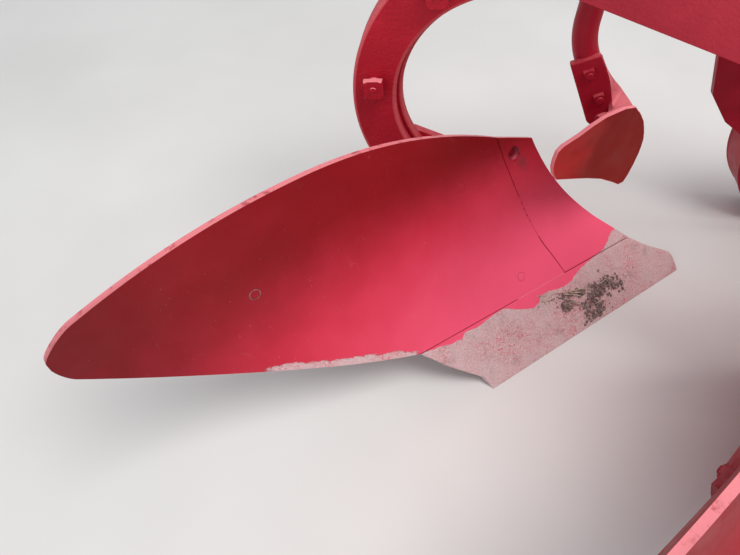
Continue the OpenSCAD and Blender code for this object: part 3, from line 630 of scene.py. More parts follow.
def board_thickness(z):
    return BOARD_PLATE


SIDES = ("rear", "front")
shins = []
for i, side in enumerate(SIDES):
    plate_object(side + "_mouldboard", board_uz, 120, 44, board_thickness, i, mouldboard_mud,
                 worn_and_lit_sides=("top", "far"))
    shins.append(plate_object(side + "_shin", shin_uz, 16, 60, board_thickness, i, shin_mud, shin_scuff,
                              worn_and_lit_sides=("top",)))
    plate_object(side + "_share", share_uz, 120, 36, share_thickness, i, share_mud, None, 1.3, 0.0008)

# Nodes with meshes of their own; the others are shown with rounded corners
OWN = ("mouldboard", "shin", "share", "skim_shank", "skim_bracket", "wheel_rim", "wheel_disc", "wheel_hub")
SKIM_TURN = radians(40.0)
for node in nodes:
    if node.endswith(OWN):
        continue
    if node.endswith("skim_board"):
        obj = rounded(node, PAINT_SKIM, 0.0016, 3, (sin(SKIM_TURN), -cos(SKIM_TURN), 0))
        xs = [vert.co.x for vert in obj.data.vertices]
        tint = obj.data.attributes.new("tint", "FLOAT", "POINT")
        for row, x in zip(tint.data, xs):
            row.value = (x - min(xs)) / (max(xs) - min(xs))
    elif node.endswith(("leg_outer", "leg_inner")):
        rounded(node, PAINT_CAST, near=0.0055)
    elif node.endswith(("_beam", "_tube")):
        rounded(node, PAINT_BEAM)
    else:
        rounded(node, PAINT_SMOOTH if node.endswith("stay") or node.startswith("wheel_") else PAINT_CAST)


# Trim: bolts, nuts, welds. Each piece is built around its own Z and placed by a matrix.
def turns(count):
    return [2 * pi * k / count for k in range(count)]


def circle(bm, r, h, sides):
    """Vertices around Z, at a radius and a height in millimetres."""
    return [bm.verts.new((r / 1000 * cos(a), r / 1000 * sin(a), h / 1000)) for a in turns(sides)]


def join(bm, rows):
    """Faces between each row of vertices and the next."""
    for a, b in zip(rows, rows[1:]):
        for k in range(len(a)):
            n = (k + 1) % len(a)
            bm.faces.new((a[k], a[n], b[n], b[k]))


def capped(bm, rows):
    """The same, with both ends closed."""
    join(bm, rows)
    bm.faces.new(rows[0][::-1])
    bm.faces.new(rows[-1])


def lathe(bm, profile, sides=32):
    """Adds a turned piece; its profile of (radius, height) starts and ends on the axis."""
    rings = [circle(bm, r, h, sides) if r > 0 else [bm.verts.new((0, 0, h / 1000))] for r, h in profile]
    for a, b in zip(rings, rings[1:]):
        for k in range(sides):
            n = (k + 1) % sides
            if len(a) == 1:
                bm.faces.new((a[0], b[k], b[n]))
            elif len(b) == 1:
                bm.faces.new((a[k], a[n], b[0]))
            else:
                bm.faces.new((a[k], a[n], b[n], b[k]))


def turned(profile, sides=32):
    return lambda bm: lathe(bm, profile, sides)


def prism(bm, sides, across, low, high, chamfer):
    """Adds a nut or a bolt head: a prism with its outer corners turned off."""
    corner = across / 2 / cos(pi / sides)
    levels = [(low, 0.985), (low + 0.2, 0.985), (high - chamfer, 0.985), (high - chamfer * 0.45, 0.93),
              (high, 0.85)]
    rings = [[] for level in levels]
    for ring, (h, cut) in zip(rings, levels):
        for a in turns(sides * 6):
            local = (a + pi / sides) % (2 * pi / sides) - pi / sides
            r = min(across / 2 / cos(local), corner * cut) / 1000
            ring.append(bm.verts.new((r * cos(a), r * sin(a), h / 1000)))
    capped(bm, rings)


def facing(place, axis, turn=0.0):
    """Matrix that puts a piece at a place in metres with its Z along axis."""
    rot = Vector(axis).normalized().to_track_quat("Z", "Y").to_matrix().to_4x4()
    return Matrix.Translation(Vector(place)) @ rot @ Matrix.Rotation(turn, 4, "Z")


def built(build, matrix):
    """Mesh of one piece, in its place."""
    piece = bmesh.new()
    build(piece)
    bmesh.ops.recalc_face_normals(piece, faces=piece.faces)
    mesh = bpy.data.meshes.new("piece")
    piece.to_mesh(mesh)
    piece.free()
    mesh.transform(matrix)
    return mesh


class Trim:
    """Collects the small pieces of one body and one paint into one object."""

    def __init__(self, name, material, body="frame", slot="frame_red"):
        self.name, self.material, self.body, self.slot = name, material, body, slot
        self.bm = bmesh.new()
        self.masks = {key: self.bm.verts.layers.float.new(key) for key in ("rim", "glow", "mud", "facet")}

    def add(self, build, matrix=Matrix(), **masks):
        mesh = built(build, matrix)
        start = len(self.bm.verts)
        self.bm.from_mesh(mesh)
        bpy.data.meshes.remove(mesh)
        self.bm.verts.ensure_lookup_table()
        for key, value in masks.items():
            for vert in self.bm.verts[start:]:
                vert[self.masks[key]] = value

    def done(self, node=None):
        """Makes the object, which stands for a node if one is named."""
        obj = add_object(self.name, self.bm, self.material, self.body, 50)
        obj.data.set_sharp_from_angle(angle=radians(32))
        if node:
            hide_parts(node)


def nut(sides, across, height, bolt, out, washer=0.0, wide=0.0):
    """Nut with the bolt's end standing out of it.

    washer is the thickness of a washer or a turned seat under it, and wide its radius.
    """
    wide = wide or across * 0.72

    def build(bm):
        if washer:
            lathe(bm, [(0, 0), (wide - 0.3, 0), (wide, 0.4), (wide, washer - 0.4), (wide - 0.4, washer),
                       (0, washer)])
        prism(bm, sides, across, washer, washer + height, min(1.6, height * 0.14))
        r = bolt / 2
        h = washer + height - 0.4
        end = washer + height + out
        profile = [(0, h - 1), (r, h - 1)]
        while h < end - 1.6:
            profile += [(r, h), (r - 0.5, h + 0.55), (r, h + 1.1)]
            h += 1.4
        profile += [(r, end - 1.1), (r - 0.9, end - 0.2), (r - 1.8, end), (0, end)]
        lathe(bm, profile, 24)
    return build


def head(sides, across, height, washer=True):
    """Bolt head, on a washer."""
    def build(bm):
        base = 2.0 if washer else 0.0
        if washer:
            wide, foot = across * 0.66, across * 0.64
            lathe(bm, [(0, 0), (foot, 0), (wide, 0.4), (wide, 1.6), (foot, base), (0, base)])
        prism(bm, sides, across, base, base + height, height * 0.2)
        r, top = across * 0.36, base + height
        lathe(bm, [(0, top - 1.2), (r, top - 1.2), (r, top + 0.15), (0, top + 0.15)], 24)
    return build


def flush_head(diameter, dome=0.9):
    """Countersunk plough bolt head, worn level with the board."""
    r = diameter / 2
    return turned([(0, -2.0), (r, -2.0), (r, 0.12), (r - 0.35, 0.42), (r - 1.1, 0.5),
                   (r * 0.5, 0.5 + dome * 0.5), (0, 0.5 + dome * 0.6)], 40)


def turned_ring(profile, sides=64):
    """Turned piece with a hole: the profile is a closed loop of (radius, height)."""
    def build(bm):
        rows = [circle(bm, r, h, sides) for r, h in profile]
        join(bm, rows + rows[:1])
    return build


def seam_ring(diameter, width, height):
    r = diameter / 2
    return turned_ring([(r - 0.2, -1.0), (r + width, -1.0), (r + width, height), (r - 0.2, height)], 40)


def tube(points, radius, sides=8, ripple=0.0, taper=0.0):
    """Round bar along points in metres, with one radius or one for each; a ripple makes a weld bead."""
    def build(bm):
        rows = []
        count = len(points)
        for k, p in enumerate(points):
            d = (points[min(k + 1, count - 1)] - points[max(k - 1, 0)]).normalized()
            side = d.cross(Vector((0.31, 0.17, 0.93))).normalized()
            up = side.cross(d)
            r = (radius[k] if isinstance(radius, list) else radius) / 1000
            r *= (1 + ripple * sin(k * 2.1)) * (1 - taper * k / count)
            rows.append([bm.verts.new(p + side * r * cos(a) + up * r * sin(a)) for a in turns(sides)])
        capped(bm, rows)
    return build


def weld(corners, radius=4.5):
    """Bead through corner points in plough coordinates."""
    points = []
    for a, b in zip(corners, corners[1:]):
        a, b = row_point(*a), row_point(*b)
        steps = max(2, int((b - a).length / 0.0035))
        points += [a.lerp(b, k / steps) for k in range(steps)]
    points.append(row_point(*corners[-1]))
    return tube(points, radius, 8, 0.13)


def clod(size, seed, flat):
    """Crumb of soil: a lump with a broken surface."""
    def build(bm):
        bmesh.ops.create_icosphere(bm, subdivisions=1 if size < 1.6 else 2 if size < 5 else 4, radius=1.0)
        for v in bm.verts:
            q = v.co * 1.7 + Vector((seed * 3.7, seed * 1.9, 0))
            lump = 1 + 0.5 * noise.fractal(q, 0.7, 2.1, 4) + 0.28 * noise.noise(q * 3.3)
            v.co = v.co * lump * size / 1000
            v.co.z *= flat
    return build


def on_board(i, u, z, lift=0.0, way=1):
    """Place on the working surface of body i, facing off it, or into it with way -1."""
    n = face_normal(u, z)
    return facing(body_point(i, *face_point(u, z)) + n * lift / 1000, n * way)


def behind_board(i, u, z, depth):
    return on_board(i, u, z, -depth, -1)


def on_body(i, x, y, z, axis, turn=0.0):
    return facing(body_point(i, x, y, z), axis, turn)


NEAR, FAR = (0, -1, 0), (0, 1, 0)
LEG_NEAR, LEG_FAR = -68.0, -28.0
LEG_TURN = radians(6.0)
SLANT = radians(28.0)
# Plough bolts on mouldboard, shin piece and share: across, height
PAINTED_BOLTS = [(121, 268), (70, 301), (154, 103)]
OPEN_BOLT = (382, 266)
SHARE_BOLTS = [(260, 61), (128, 58)]
STAY_BOLT = (335, 230)
SHIN_HOLE = (34, 281)
# Nuts and bolts beside them: x, height
LEG_BOLTS = [(-623.5, 409), (-540.5, 550)]
LEG_TOP_BOLT = (-455, 592)
FRONT_TOP_BOLTS = [LEG_TOP_BOLT, (-411, 586)]
FROG_BOLTS = [(-560, 258), (-490, 214)]
LANDSIDE_BOLTS = [(-330, 52), (-410, 52)]
BRACKET_BOLTS = [(-294, 406), (-267, 366)]
CLAMP_BOLTS = [(-282, 599.0), (-282, 629.0)]
LEG_NUT = nut(4, 29, 10, 12, 1.6, 7.0, 12.6)
# Pieces of every body: shape, y, axis, turn, places
FITTINGS = [
    (head(6, 30, 13), LEG_FAR, FAR, 0.0, LEG_BOLTS),
    (head(6, 24, 11), LEG_NEAR, NEAR, 0.3, FROG_BOLTS),
    (nut(6, 24, 11, 16, 5), -14.0, FAR, 0.0, FROG_BOLTS),
    (nut(6, 19, 9, 12, 5), LEG_FAR, NEAR, 0.0, LANDSIDE_BOLTS),
    (head(6, 24, 10), -50.0, NEAR, 0.0, [(-424, 58)]),
    (nut(4, 16, 8, 11, 3.0), 17.0, NEAR, SLANT, BRACKET_BOLTS),
    (head(6, 18, 8, False), 62.2, FAR, SLANT, [(x - 4, z - 8) for x, z in BRACKET_BOLTS]),
    (nut(6, 24, 8, 16, 10), 43.0, (1, 0, 0), 0.0, CLAMP_BOLTS)]
PAD_BOLT_X = -158 - 4.5 - (30 + 50) / tan(SKIM_TURN) - 7.2 / sin(SKIM_TURN)


for i, side in enumerate(SIDES):
    heads = Trim(side + "_board_bolts", PAINT_BOARD, slot="board_red")
    # The bolt heads carry the board's painted sky sheen.
    for u, z in PAINTED_BOLTS + [OPEN_BOLT]:
        heads.add(flush_head(15, 0.3), on_board(i, u, z), glow=glow(u, z))
    for u, z in SHARE_BOLTS:
        heads.add(flush_head(16, 0.3), on_board(i, u, z), glow=glow(u, z), mud=share_mud(u, z))
    heads.done()
    seams_and_shade = Trim(side + "_board_seams_and_recess_shade", SEAM_AND_RECESS_SHADE, slot="board_red")
    for u, z in PAINTED_BOLTS:
        seams_and_shade.add(seam_ring(15, 0.35, 0.12), on_board(i, u, z))
    # The bolt head deep in the shin's hole is dark, painted shade in the recess.
    seams_and_shade.add(flush_head(12.6, 0.4), on_board(i, *SHIN_HOLE, -5.6))
    seams_and_shade.done()
    open_seam = Trim(side + "_tail_bolt_seam", SOIL_MAT, slot="board_red")
    open_seam.add(seam_ring(15, 1.1, 0.2), on_board(i, *OPEN_BOLT))
    open_seam.done()

    nuts = Trim(side + "_nuts", PAINT_SMOOTH)
    for u, z in PAINTED_BOLTS[:2]:
        nuts.add(nut(6, 19, 9, 12, 5), behind_board(i, u, z, BOARD_PLATE + 0.1))
    nuts.add(nut(6, 19, 9, 12, 3), behind_board(i, *STAY_BOLT, BOARD_PLATE + 14.4))
    for build, y, axis, turn, places in FITTINGS:
        for x, z in places:
            nuts.add(build, on_body(i, x, y, z, axis, turn))
    nuts.add(nut(4, 18, 9, 12, 4), on_body(i, PAD_BOLT_X, -50.0, 366, (-sin(SKIM_TURN), cos(SKIM_TURN), 0)))
    if i:
        for x, z in FRONT_TOP_BOLTS:
            nuts.add(nut(6, 30, 15, 20, 7), on_body(i, x, LEG_FAR, z, FAR))
            nuts.add(head(6, 30, 13), on_body(i, x, LEG_NEAR - 60, z, NEAR))
    leg_nuts = Trim(side + "_leg_nuts", PAINT_CAST)
    for x, z in LEG_BOLTS if i else LEG_BOLTS + [LEG_TOP_BOLT]:
        # The leg nuts' upward facets get a painted highlight.
        leg_nuts.add(LEG_NUT, on_body(i, x, LEG_NEAR, z, NEAR, LEG_TURN), facet=1.0)
    leg_nuts.done()
    nuts.done()
    flush = Trim(side + "_landside_bolts", STEEL)
    for x, z in LANDSIDE_BOLTS:
        flush.add(flush_head(18), on_body(i, x, 0.0, z, FAR))
    flush.done()


# Hole of a countersunk bolt near the top of each shin piece
HOLE_PROFILE = [(0, 3), (11.4, 3), (11.4, -0.35), (11.2, -0.6), (6.6, -4.9), (6.6, -14), (0, -14)]


def cut_hole(obj, matrix):
    """Cuts the hole and darkens its wall where the light doesn't reach."""
    cutter = bpy.data.objects.new("cutter", built(turned(HOLE_PROFILE, 48), matrix))
    scene.collection.objects.link(cutter)
    obj.modifiers.clear()
    mod = obj.modifiers.new("hole", "BOOLEAN")
    mod.operation = "DIFFERENCE"
    mod.solver = "EXACT"
    mod.object = cutter
    bpy.context.view_layer.update()
    cut = bpy.data.meshes.new_from_object(obj.evaluated_get(bpy.context.evaluated_depsgraph_get()))
    obj.modifiers.clear()
    obj.data = cut
    bpy.data.objects.remove(cutter)
    for poly in cut.polygons:
        poly.use_smooth = True
    cut.set_sharp_from_angle(angle=radians(38))
    shade = cut.attributes["shade"]
    back = matrix.inverted()
    for vert in cut.vertices:
        p = back @ vert.co
        if hypot(p.x, p.y) < 0.012 and p.z < -0.0003:
            lit = max(0.0, (vert.co - matrix.translation).normalized().dot(Vector((0.5, -0.5, -0.7))))
            shade.data[vert.index].value = 1.0 - 0.9 * lit ** 3
    weigh_normals(obj)


for i, shin in enumerate(shins):
    cut_hole(shin, on_board(i, *SHIN_HOLE))

# Paint that fills parts of the plates' joints: beads from high to low
FILLED = [(208, 198), (194.5, 187), (184.5, 176), (172.5, 166), (163.5, 138)]


def shin_width_at(z):
    """Width of the shin piece at a height, found step by step."""
    foot = SHARE_HEIGHT + JOINT_GAP
    width = 60.0
    for _ in range(8):
        width = shin_width((z - foot) / (shin_top(width) - foot))
    return width


for i, side in enumerate(SIDES):
    filler = Trim(side + "_joint_paint", PAINT_BOARD, slot="board_red")
    for high, low in FILLED:
        heights = [high + (low - high) * k / 8 for k in range(9)]
        points = [on_board(i, shin_width_at(z) + 0.5, z, -0.7).translation for z in heights]
        # The beads carry the board's painted sky sheen.
        filler.add(tube(points, 1.05, 8, 0.05), glow=glow(70, (high + low) / 2))
    # The bead along the share's joint gets full sheen and rim paint, a painted highlight on the joint.
    points = [on_board(i, 114 + 5.0 * k, SHARE_HEIGHT + 0.5, -0.7).translation for k in range(16)]
    filler.add(tube(points, 1.0, 8, 0.05), glow=1.0, rim=0.7)
    filler.done()

# Dried soil on the shares: across, height, spread, count, smallest and largest radius, pile
HEAPS = [(86, 34, 16, 14, 120, 0.8, 2.8, 4), (92, 41, 17, 8, 110, 0.8, 3.4, 7),
         (108, 47, 10, 5, 40, 0.8, 2.6, 4), (114, 35, 18, 8, 90, 0.8, 3.2, 6),
         (138, 52, 20, 5, 70, 0.7, 2.8, 4), (133, 24, 18, 10, 90, 0.8, 3.4, 5),
         (150, 56, 14, 4, 30, 0.7, 2.2, 2), (148, 12, 20, 9, 80, 0.8, 3.6, 4),
         (112, 30, 55, 17, 110, 0.4, 1.3, 0), (172, 62, 10, 4, 16, 0.6, 1.8, 1),
         (60, 30, 20, 12, 30, 0.5, 1.5, 0)]
FRONT_SOIL = 0.35
# Two large clods of the rear share: radius, seed, flatness, across, height
CLODS = [(10.0, 4.2, 0.82, 160, 42), (5.5, 9.1, 0.7, 128, 47)]
CLOD_LIFT = 5.0
# Straw: radius, then across, height and lift of each point
STRAWS = [
    (0.9, [(170, 72, 1), (162, 66.5, 2)]),
    (0.8, [(164, 62, 1), (156, 64, 3), (149, 63, 4), (140, 57.5, 5), (131, 54, 4), (123, 51, 3),
           (114, 42, 3)]),
    (1.5, [(151, 50, 5), (149, 43, 6), (147.5, 31, 3)]),
    (1.0, [(177, 62, 1), (169, 61, 3), (161, 58, 3)]),
    (0.6, [(172, 60, 2), (176, 53, 1), (180, 46, 1)]),
    (1.1, [(139, 55, 5), (131, 49, 6), (126, 45, 5)]),
    (0.9, [(121, 47, 6), (115, 52, 6), (108, 54, 4)]),
    (1.2, [(146, 57, 4), (138, 50, 6), (134, 42, 5)]),
    (0.7, [(100, 45, 7), (90, 47, 8), (80, 42, 4)]),
    (0.8, [(118, 30, 7), (126, 24, 6), (137, 24, 4)])]
draw = random.Random(11)
for i, side in enumerate(SIDES):
    soil = Trim(side + "_share_soil", SOIL_MAT, slot="worn_steel")
    for u0, z0, du, dz, count, small, large, pile in HEAPS:
        for k in range(int(count * (FRONT_SOIL if i else 1.0))):
            a, b = draw.gauss(0, 0.55), draw.gauss(0, 0.55)
            size = small + (large - small) * draw.random() ** 2.2
            u, z = u0 + a * du, min(78, max(6, z0 + b * dz))
            lift = size * 0.35 + pile * exp(-2.2 * (a * a + b * b)) * draw.random()
            soil.add(clod(size, draw.random() * 60, 0.6 + 0.35 * draw.random()), on_board(i, u, z, lift)
                     @ Matrix.Rotation(draw.random() * 6.28, 4, "Z"))
    if i == 0:
        for size, seed, flat, u, z in CLODS:
            soil.add(clod(size, seed, flat), on_board(i, u, z, CLOD_LIFT))
    soil.done()
    straw = Trim(side + "_share_straw", STRAW, slot="worn_steel")
    for radius, line in STRAWS if i == 0 else STRAWS[3:7]:
        points = []
        for a, b in zip(line, line[1:]):
            for k in range(5):
                u, z, lift = (a[c] + (b[c] - a[c]) * k / 5 for c in range(3))
                points.append(on_board(i, u, z, lift + 0.4 * sin(u * 1.7)).translation)
        points.append(on_board(i, *line[-1]).translation)
        straw.add(tube(points, radius, 7, 0.10, 0.25))
    straw.done()

# Skimmer: round shank with its forged bend, bracket plate, gusset and pad behind the board
BEND_Z, BEND_R, SHANK_X, SHANK_Y, SHANK_TOP = 450.0, 120.0, -315.0, 43.0, 707


def shank_line():
    """Points and radii along the middle of the shank, from the bottom to the top."""
    rise = BEND_R * tan(SLANT / 2)
    foot = 116
    line = [((foot - d) * sin(SLANT), -(foot - d) * cos(SLANT), r)
            for d, r in ((0, 16.5), (2.5, 18.9), (8, 19))]
    line += [(d * sin(SLANT), -d * cos(SLANT), 19.1) for d in (86, 64, 46)]
    for k in range(15):
        a = SLANT * (1 - k / 14)
        line.append((BEND_R * (1 - cos(a)), rise - BEND_R * sin(a), 19.3))
    line += [(0, z, 19.1) for z in (60, 110, 180)]
    line += [(0, SHANK_TOP - BEND_Z - d, r) for d, r in ((3, 19), (0.4, 17.2), (0, 15.5))]
    return line


def slant_point(along, across):
    """X and height of a point beside the slanted foot of the shank."""
    return (SHANK_X + along * sin(SLANT) + across * cos(SLANT),
            BEND_Z - along * cos(SLANT) + across * sin(SLANT))


# Hollow of the skimmer board: height, depth
HOLLOW = [(199, 0), (211, 3), (234, 6), (253, 8), (270, 9), (302, 9), (316, 9), (331, 8), (349, 6), (358, 4),
          (366, 3), (376, 1), (383, 0)]


def behind_skim(y, z, t):
    """Point behind the skimmer board, t from its front face."""
    hollow = np.interp(z, *zip(*HOLLOW))
    return Vector((-158 - hollow - (30 - y) / tan(SKIM_TURN) - t / sin(SKIM_TURN), y, z))


def sheet(bm, front, back, width):
    """Solid between two grids of the same size, with its sharp corners rounded."""
    rows, cols = len(front) - 1, len(front[0]) - 1
    a = [[bm.verts.new(p) for p in line] for line in front]
    b = [[bm.verts.new(p) for p in line] for line in back]
    for j in range(rows):
        for c in range(cols):
            bm.faces.new((a[j][c], a[j][c + 1], a[j + 1][c + 1], a[j + 1][c]))
            bm.faces.new((b[j][c], b[j + 1][c], b[j + 1][c + 1], b[j][c + 1]))
    for (j, c, _), (k, d, _) in border(rows, cols):
        bm.faces.new((a[j][c], b[j][c], b[k][d], a[k][d]))
    round_corners(bm, width, 3, 50.0)


def through(points, count):
    """Smooth line through points."""
    points = [Vector(p) for p in points]
    line = []
    last = len(points) - 1
    for k in range(count + 1):
        x = last * k / count
        i = min(last - 1, int(x))
        p = [points[max(0, min(last, i + d))] for d in (-1, 0, 1, 2)]
        t = x - i
        line.append(0.5 * (2 * p[1] + (p[2] - p[0]) * t + (2 * p[0] - 5 * p[1] + 4 * p[2] - p[3]) * t * t
                           + (3 * p[1] - p[0] - 3 * p[2] + p[3]) * t ** 3))
    return line


# Bracket plate: its near and far face, and its outline along and across the slant
PLATE_Y = (17, 31)
PLATE_TOP = [(23, -26), (26, 20), (52, 23), (77, 24), (98, 22), (117, 19)]
PLATE_FOOT = [(145, -20), (136, -25)]
# Pad behind the board: height, y from and to
PAD = [(331, 10, -45), (349, 0, -45), (358, -7, -45), (366, -14, -46), (373.5, -21, -47)]
# Gusset: line along the plate's edge down to the pad, and its free edge
GUSSET_IN = [(-286.5, 17.2, 437.2), (-270.3, 17.0, 414.9), (-258.5, 17.0, 394.5), (-251.0, 16.5, 376),
             (-245.5, 15, 362), (-245.0, 3, 356.5), (-253, -20, 360), (-257, -36, 364)]
GUSSET_OUT = [(-284.5, 18.5, 438.6), (-267.1, 28, 411.7), (-255.0, 33, 397.0), (-245.6, 36, 386.9),
              (-235, 35, 378), (-228.6, 31, 372.4), (-219.9, 15, 367.6), (-217.6, -8, 369.6)]
GUSSET_BULGE = Vector((0.2, 0.3, -1.0)) * 2.2
GUSSET_BACK = Vector((-3.5, 4.5, -6.5))


def bracket_parts(i):
    """Builders of the bracket's plate, pad and gusset on body i."""
    def placed(grid):
        return [[body_point(i, *p) for p in line] for line in grid]

    def plate(bm):
        outline = [slant_point(*q) for q in PLATE_TOP]
        outline += [(behind_skim(PLATE_Y[0], z, 7).x - 0.6, z) for z in (318, 288)]
        outline += [slant_point(*q) for q in PLATE_FOOT]
        capped(bm, [[bm.verts.new(body_point(i, x, y, z)) for x, z in outline] for y in PLATE_Y])
        round_corners(bm, 0.003, 4)

    def pad(bm):
        front, back = ([[behind_skim(a + (b - a) * c / 6, z, 7.4 + t) for c in range(7)] for z, a, b in PAD]
                       for t in (0, 10))
        sheet(bm, placed(front), placed(back), 0.0022)

    def gusset(bm):
        front = [[p.lerp(q, c / 6) + GUSSET_BULGE * sin(pi * c / 6) for c in range(7)]
                 for p, q in zip(through(GUSSET_IN, 28), through(GUSSET_OUT, 28))]
        sheet(bm, placed(front), placed([[p + GUSSET_BACK for p in line] for line in front]), 0.0018)

    return plate, pad, gusset


for i, side in enumerate(SIDES):
    shank = Trim(side + "_shank_body", PAINT_SMOOTH)
    line = shank_line()
    shank.add(tube([body_point(i, SHANK_X + x, SHANK_Y, BEND_Z + z) for x, z, r in line],
                   [r for x, z, r in line], 48))
    shank.done(side + "_skim_shank")
    bracket = Trim(side + "_bracket_body", PAINT_SMOOTH)
    plate, pad, gusset = bracket_parts(i)
    bracket.add(plate)
    # The pad and the gusset get the rim mask all over: painted lighter where they look up, as painted sky
    # light with rubbed paint.
    bracket.add(pad, rim=0.6)
    bracket.add(gusset, rim=0.6)
    bracket.done(side + "_skim_bracket")


# Welds of the frame
def beam_near(x):
    """Y of the near side of the diagonal beam."""
    return -153 - 0.860136 * (x + 283)


def beam_far(x):
    return beam_near(x) + 79.14


# Heights of the frame, Y of main and land beam, X of cross tube and mast
TOP, LOW, MIDDLE_LOW = 677.0, 557.0, 617
MAIN_NEAR, MAIN_FAR, LAND_NEAR, LAND_FAR = -343, -283, 72, 122
TUBE_BACK, TUBE_FRONT, MAST_BACK, MAST_FRONT = 620, 710, 622, 708


def frame_end(near, far):
    return [(TUBE_BACK, near, LOW), (TUBE_BACK, near, TOP), (TUBE_BACK, far, TOP), (TUBE_BACK, far, LOW),
            (TUBE_BACK, near, LOW)]


def middle_end(y):
    return [(285, y, MIDDLE_LOW), (345, y, MIDDLE_LOW), (345, y, TOP), (285, y, TOP), (285, y, MIDDLE_LOW)]


def tube_end(y):
    return [(TUBE_BACK, y, LOW), (TUBE_BACK, y, TOP), (TUBE_FRONT, y, TOP), (TUBE_FRONT, y, LOW)]


def on_top(back, front, y):
    return [(back, y, TOP), (front, y, TOP)]


def brace_end(a, b):
    return [(670, a, TOP), (670, b, TOP), (684, b, TOP), (684, a, TOP)]


welds = Trim("frame_welds", PAINT_CAST)
for line in (
        frame_end(MAIN_NEAR, MAIN_FAR), frame_end(LAND_NEAR, LAND_FAR),
        [(-452.6, 72, TOP), (-510.7, 122, TOP), (-510.7, 122, LOW), (-452.6, 72, LOW), (-452.6, 72, TOP)],
        middle_end(MAIN_FAR), middle_end(LAND_NEAR), tube_end(312.5), tube_end(-472.5),
        on_top(MAST_BACK, MAST_FRONT, -38), on_top(MAST_BACK, MAST_FRONT, -122),
        brace_end(192, 250), brace_end(-352, -410), on_top(287, 343, -88), on_top(287, 343, -72),
        [(-130, 122, TOP - 2), (-130, 122, LOW), (140, 122, LOW)],
        [(-428, beam_near(-428), TOP), (-578, beam_near(-578), TOP)]):
    welds.add(weld(line))
# Skimmer clamps on the beam
for ends in ([(x, beam_far(x)) for x in (-348, -282)], [(x + PITCH, MAIN_FAR) for x in (-348, -282)]):
    for z in (583, 647):
        welds.add(weld([(x, y, z) for x, y in ends], 3.5))
welds.done()

near, far = beam_near(-600), beam_far(-600)
END_CAP = [(-605, near + 9), (-598, near + 5), (-598, far - 5), (-605, far - 3)]


def end_cap(bm):
    capped(bm, [[bm.verts.new(row_point(x, y, z)) for x, y in END_CAP] for z in (LOW + 5, TOP - 5)])
    round_corners(bm, 0.0025, 3, 30.0)


caps = Trim("beam_end_cap", PAINT_CAST)
caps.add(end_cap)
caps.done()

# Hitch: collars and linch pins on the lower pins, bosses round the top link's bore
HITCH_X, HITCH_Z, LINCH_OUT = 740, 480, 98
MAST_X, MAST_TOP = 700, 1090
hitch = Trim("hitch_trim", STEEL)
for sign, wall in ((1, 332.5), (-1, -492.5)):
    hitch.add(turned_ring([(14.2, 0), (26, 0), (27.5, 1.5), (27.5, 7), (26, 8.5), (14.2, 8.5)]),
              facing(row_point(HITCH_X, wall, HITCH_Z), (0, sign, 0)))
    linch = row_point(HITCH_X, wall + sign * LINCH_OUT, HITCH_Z)
    hitch.add(turned([(0, -25), (3.6, -24), (4.4, -22), (4.4, 17), (7.5, 18), (7.5, 25), (6, 27),
                      (0, 27)], 20), facing(linch, (0, 0, 1)))
    loop = [linch + Vector((0.021 * sin(a), 0.002 * cos(a), 0.022 * cos(a))) for a in turns(40) + [2 * pi]]
    hitch.add(tube(loop, 1.7, 8))
hitch.done()
bosses = Trim("mast_bosses", PAINT_CAST)
for y, axis in ((-38.0, FAR), (-122.0, NEAR)):
    bosses.add(turned_ring([(13.4, -0.5), (24.5, -0.5), (26, 1), (26, 3), (24.5, 4.5), (14.4, 4.5),
                            (13.4, 3.5)]), facing(row_point(MAST_X, y, MAST_TOP), axis))
bosses.done()

# Depth wheel: rim with beads, dished disc, hub with cap, bolts; heights are from its near side
WHEEL = (290.0, 168.4, 200.0)
at_wheel = facing(row_point(*WHEEL), FAR)
rim = Trim("wheel_rim_face", PAINT_SMOOTH, "wheel_body", "wheel_rim_steel")
rim.add(turned_ring([(192.4, 2), (194, 0.4), (198, 0.4), (199.8, 2), (199.8, 7), (198.4, 9.5), (198.0, 44),
                     (198.4, 80.5), (199.8, 83), (199.8, 88), (198, 89.6), (194, 89.6), (192.4, 88),
                     (191.9, 80), (191.9, 57), (191.9, 38), (191.9, 10)], 144), at_wheel)
rim.done("wheel_rim")
disc = Trim("wheel_disc_face", PAINT_SMOOTH, "wheel_body")
disc.add(turned_ring([(35, 41), (70, 41), (80, 40), (96, 37.5), (112, 37.5), (150, 43), (178, 44.5),
                      (192.2, 43), (192.2, 50.5), (178, 51.5), (150, 50.5), (112, 45.5), (97, 45.5),
                      (82, 48), (70, 49), (35, 49)], 144), at_wheel)
disc.add(turned_ring([(190.2, 50), (192.3, 49), (192.3, 55), (191.4, 54)], 144), at_wheel)
disc.done("wheel_disc")
hub = Trim("wheel_hub_face", PAINT_CAST, "wheel_body")
hub.add(turned_ring([(15.4, 0.5), (33, 0.5), (34.8, 2.5), (34.8, 30), (36, 33), (64, 34.5), (66, 36),
                     (66, 40.9), (40, 41), (40, 49), (64, 49.1), (64, 53), (62, 55), (38, 56), (34.8, 59),
                     (34.8, 86), (33, 89.4), (15.4, 89.4)], 72), at_wheel)
hub.add(turned([(0, 86), (30, 86), (30, 93), (28.6, 97.5), (24, 101), (14, 103.5), (0, 104)], 56), at_wheel)
hub.done("wheel_hub")
BOLT_CIRCLE = 52
bolts = Trim("wheel_bolts", STEEL, "wheel_body")
for a in turns(5):
    a += 0.3
    spot = row_point(WHEEL[0] + BOLT_CIRCLE * sin(a), WHEEL[1] + 55, WHEEL[2] + BOLT_CIRCLE * cos(a))
    bolts.add(nut(6, 19, 9, 12, 4, 1.5), facing(spot, FAR, a))
    bolts.add(head(6, 19, 8, False), facing(spot - Vector((0, 0.020, 0)), NEAR, a))
bolts.done()

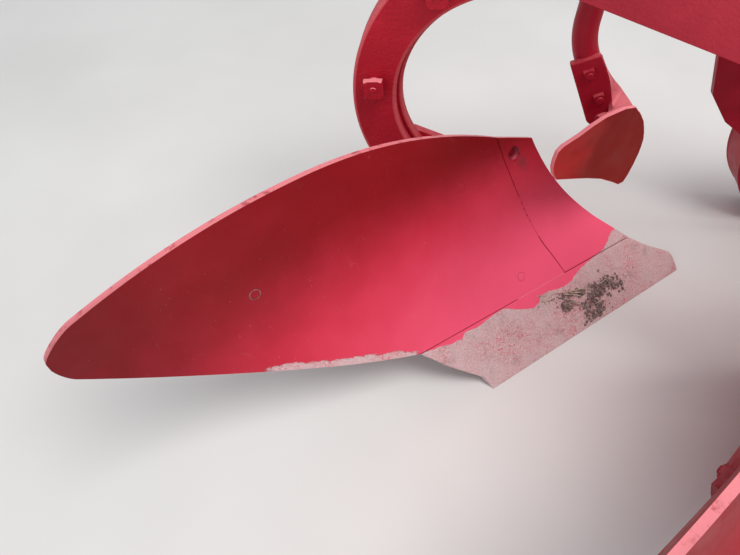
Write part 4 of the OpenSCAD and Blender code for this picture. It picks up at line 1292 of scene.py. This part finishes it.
arm = Trim("wheel_arm_nuts", STEEL, "wheel_arm_body")
arm.add(nut(6, 46, 12, 29, 1, 3.0), facing(row_point(-20, 154.4, 490), FAR))
arm.add(nut(6, 30, 14, 20, 1, 3.0), facing(row_point(97.8, 154.4, 435.1), FAR, 0.4))
arm.done()

# Floor and light
FLOOR_DARK, FLOOR_PALE = (0.70, 0.69, 0.67), (0.76, 0.75, 0.73)
SKY, BACKDROP = (0.92, 0.95, 1.0, 1), (0.86, 0.86, 0.86, 1)
floor_paint = Nodes("floor", FLOOR_DARK)
floor_paint.spots(FLOOR_PALE, 1.5, 3.0, 0.3, 0.7)
bpy.ops.mesh.primitive_plane_add(size=60, location=(0, 0, 0))
floor = bpy.context.object
floor.name = "floor"
floor.data.materials.append(floor_paint.finish(0.9, None, 0.2))

world = bpy.data.worlds.new("world")
scene.world = world
world.use_nodes = True
world.node_tree.nodes.clear()
new, link = world.node_tree.nodes.new, world.node_tree.links.new
out = new("ShaderNodeOutputWorld")
light_path = new("ShaderNodeLightPath")
mix = new("ShaderNodeMixShader")
for k, color, strength in ((1, SKY, 0.62), (2, BACKDROP, 1.0)):
    background = new("ShaderNodeBackground")
    background.inputs["Color"].default_value = color
    background.inputs["Strength"].default_value = strength
    link(background.outputs[0], mix.inputs[k])
seen_by = light_path.outputs["Is Camera Ray"]
for name in ("Is Glossy Ray", "Is Transmission Ray"):
    add = new("ShaderNodeMath")
    add.operation = "ADD"
    add.use_clamp = True
    link(seen_by, add.inputs[0])
    link(light_path.outputs[name], add.inputs[1])
    seen_by = add.outputs[0]
link(seen_by, mix.inputs[0])
link(mix.outputs[0], out.inputs[0])

LIGHTS = [("key", (0.9, -0.5, 3.5), (-0.1, 0, 0.2), 88, (1.0, 0.98, 0.95)),
          ("fill", (-2.2, -2.6, 2.4), (0, 0, 0.3), 18, (0.94, 0.97, 1.0))]
for name, place, aim, power, color in LIGHTS:
    data = bpy.data.lights.new(name, "AREA")
    data.shape = "DISK"
    data.size = 2.4
    data.energy = power
    data.color = color
    obj = bpy.data.objects.new(name, data)
    obj.location = place
    obj.rotation_euler = (Vector(aim) - Vector(place)).to_track_quat("-Z", "Y").to_euler()
    scene.collection.objects.link(obj)
